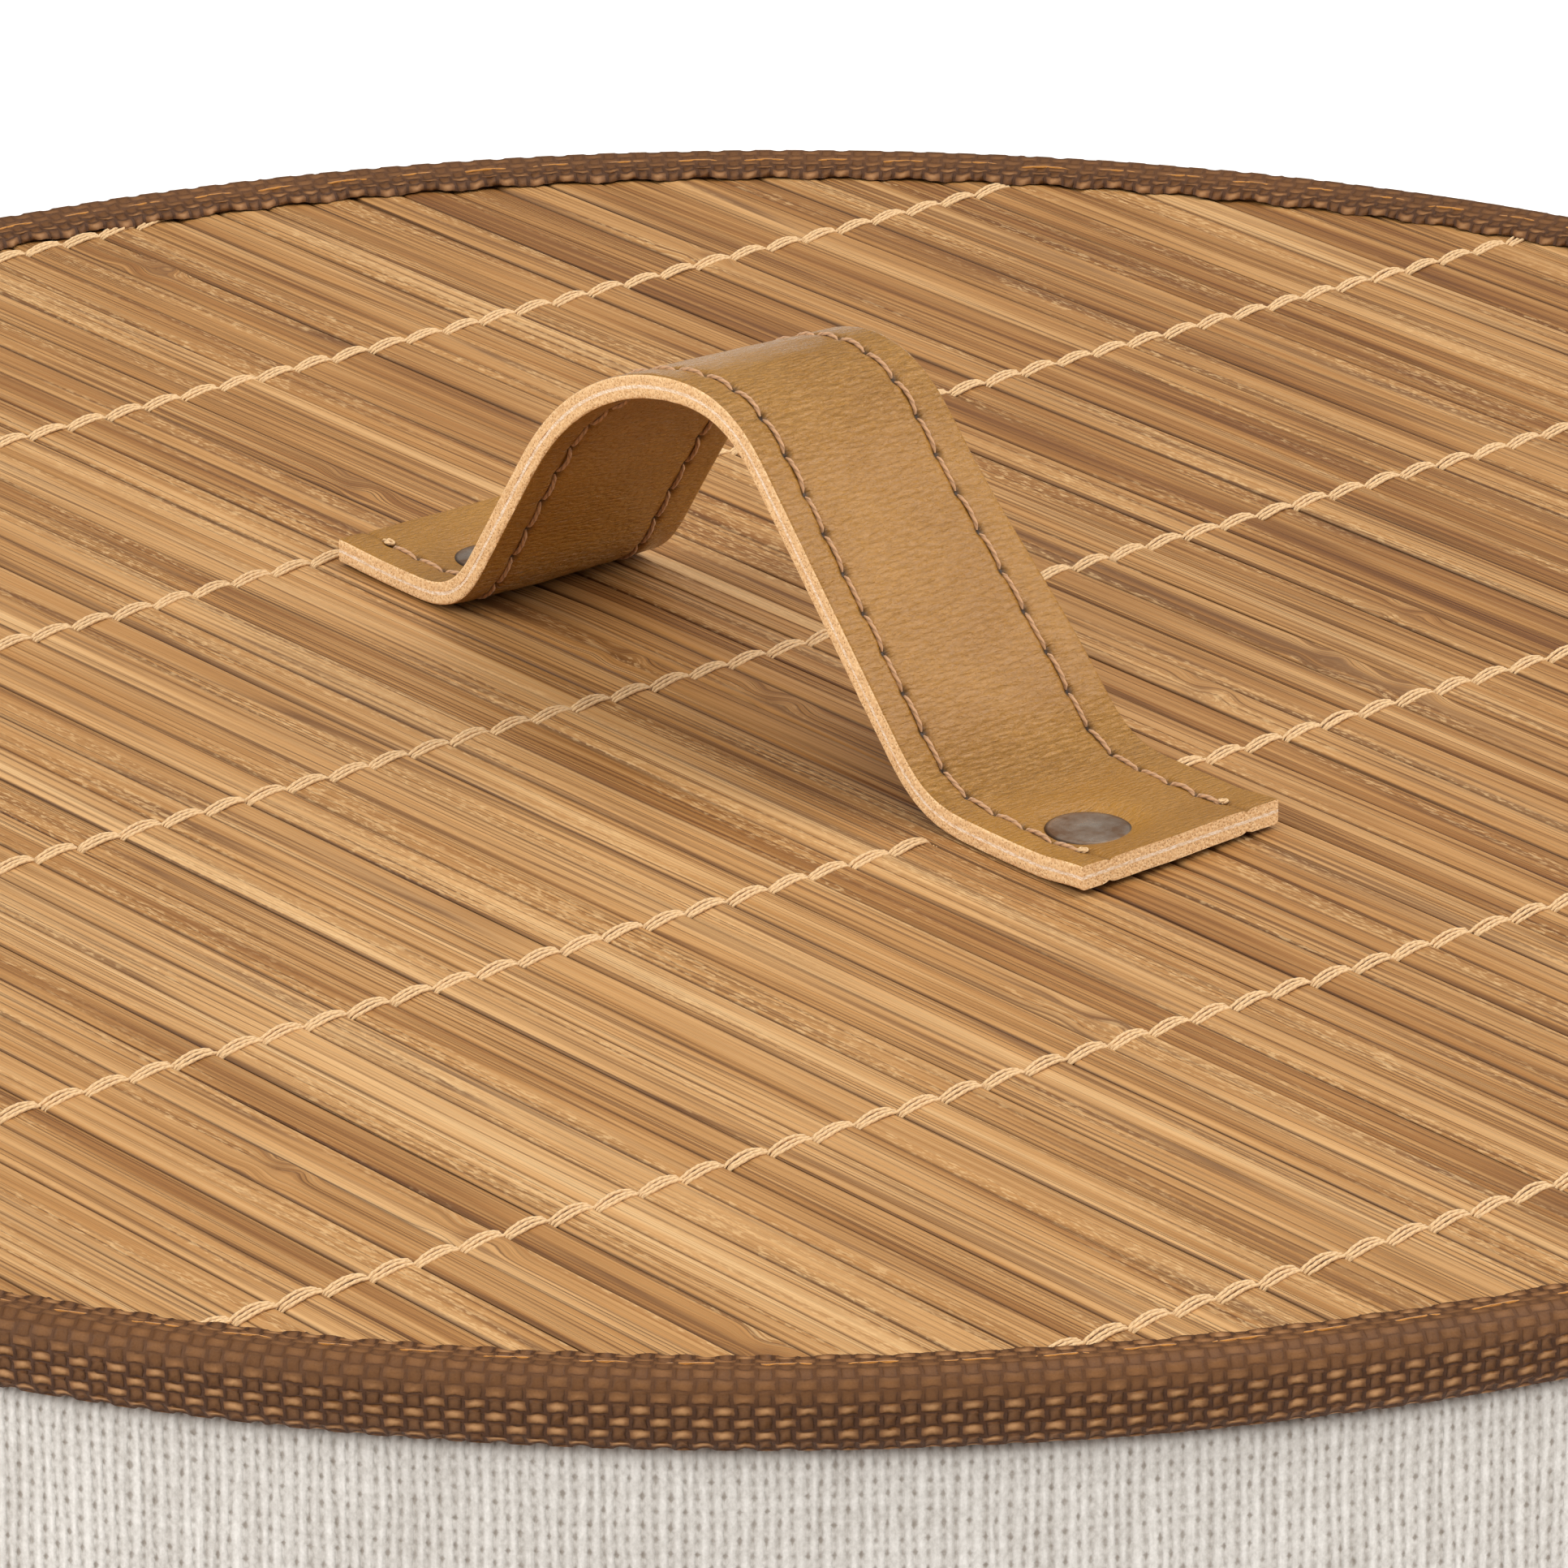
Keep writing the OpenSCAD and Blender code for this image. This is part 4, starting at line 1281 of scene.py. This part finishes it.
def make_sky():
    """A soft sky that is dark near the horizon, and plain white where the camera sees it."""
    world = bpy.data.worlds.new("studio")
    bpy.context.scene.world = world
    world.use_nodes = True
    nodes, links = world.node_tree.nodes, world.node_tree.links
    direction = nodes.new("ShaderNodeTexCoord")
    height = nodes.new("ShaderNodeSeparateXYZ")
    links.new(direction.outputs["Generated"], height.inputs[0])
    ramp = nodes.new("ShaderNodeValToRGB")
    links.new(height.outputs["Z"], ramp.inputs["Fac"])
    for element, position, value in zip(ramp.color_ramp.elements, (0.3, 0.85), (0.18, 0.55)):
        element.position = position
        element.color = (value, value, value, 1)
    seen = nodes.new("ShaderNodeLightPath")
    white = nodes.new("ShaderNodeMix")
    white.data_type = "RGBA"
    links.new(seen.outputs["Is Camera Ray"], white.inputs[0])
    links.new(ramp.outputs["Color"], white.inputs[6])
    white.inputs[7].default_value = (1, 1, 1, 1)
    links.new(white.outputs[2], nodes["Background"].inputs["Color"])


def make_floor():
    """A large white floor."""
    half = 30.0
    mesh = bpy.data.meshes.new("floor")
    mesh.from_pydata([(-half, -half, 0), (half, -half, 0), (half, half, 0), (-half, half, 0)], [],
                     [(0, 1, 2, 3)])
    paint = Shader("floor_white", Roughness=0.9)
    paint.colour((0.93, 0.93, 0.93, 1))
    mesh.materials.append(paint.material)
    floor = bpy.data.objects.new("floor", mesh)
    bpy.context.scene.collection.objects.link(floor)


def make_lamp(name, towards, energy):
    """A broad, soft lamp, far away in one direction."""
    spread = math.radians(50)
    data = bpy.data.lights.new(name, "SUN")
    data.energy = energy
    data.angle = spread
    lamp = bpy.data.objects.new(name, data)
    bpy.context.scene.collection.objects.link(lamp)
    lamp.rotation_euler = Vector(towards).to_track_quat("Z", "Y").to_euler()


def make_studio():
    """A white floor, a soft sky and five broad lamps."""
    bpy.context.scene.view_settings.view_transform = "Standard"
    make_sky()
    make_floor()
    make_lamp("overhead", (0.5, 0.0, 0.86), 0.87)
    make_lamp("front_left", (-0.61, -0.22, 0.76), 1.03)
    make_lamp("front_right", (0.30, -0.56, 0.77), 1.05)
    make_lamp("side_left", (-0.87, 0.42, 0.26), 1.75)
    make_lamp("side_right", (0.78, -0.57, 0.26), 1.4)


make_camera()
make_mat()
make_lid_binding()
make_straps()
make_base_binding()
make_cloths()
make_seam_stitches()
make_ring_cover()
finish_cad_nodes()
make_studio()
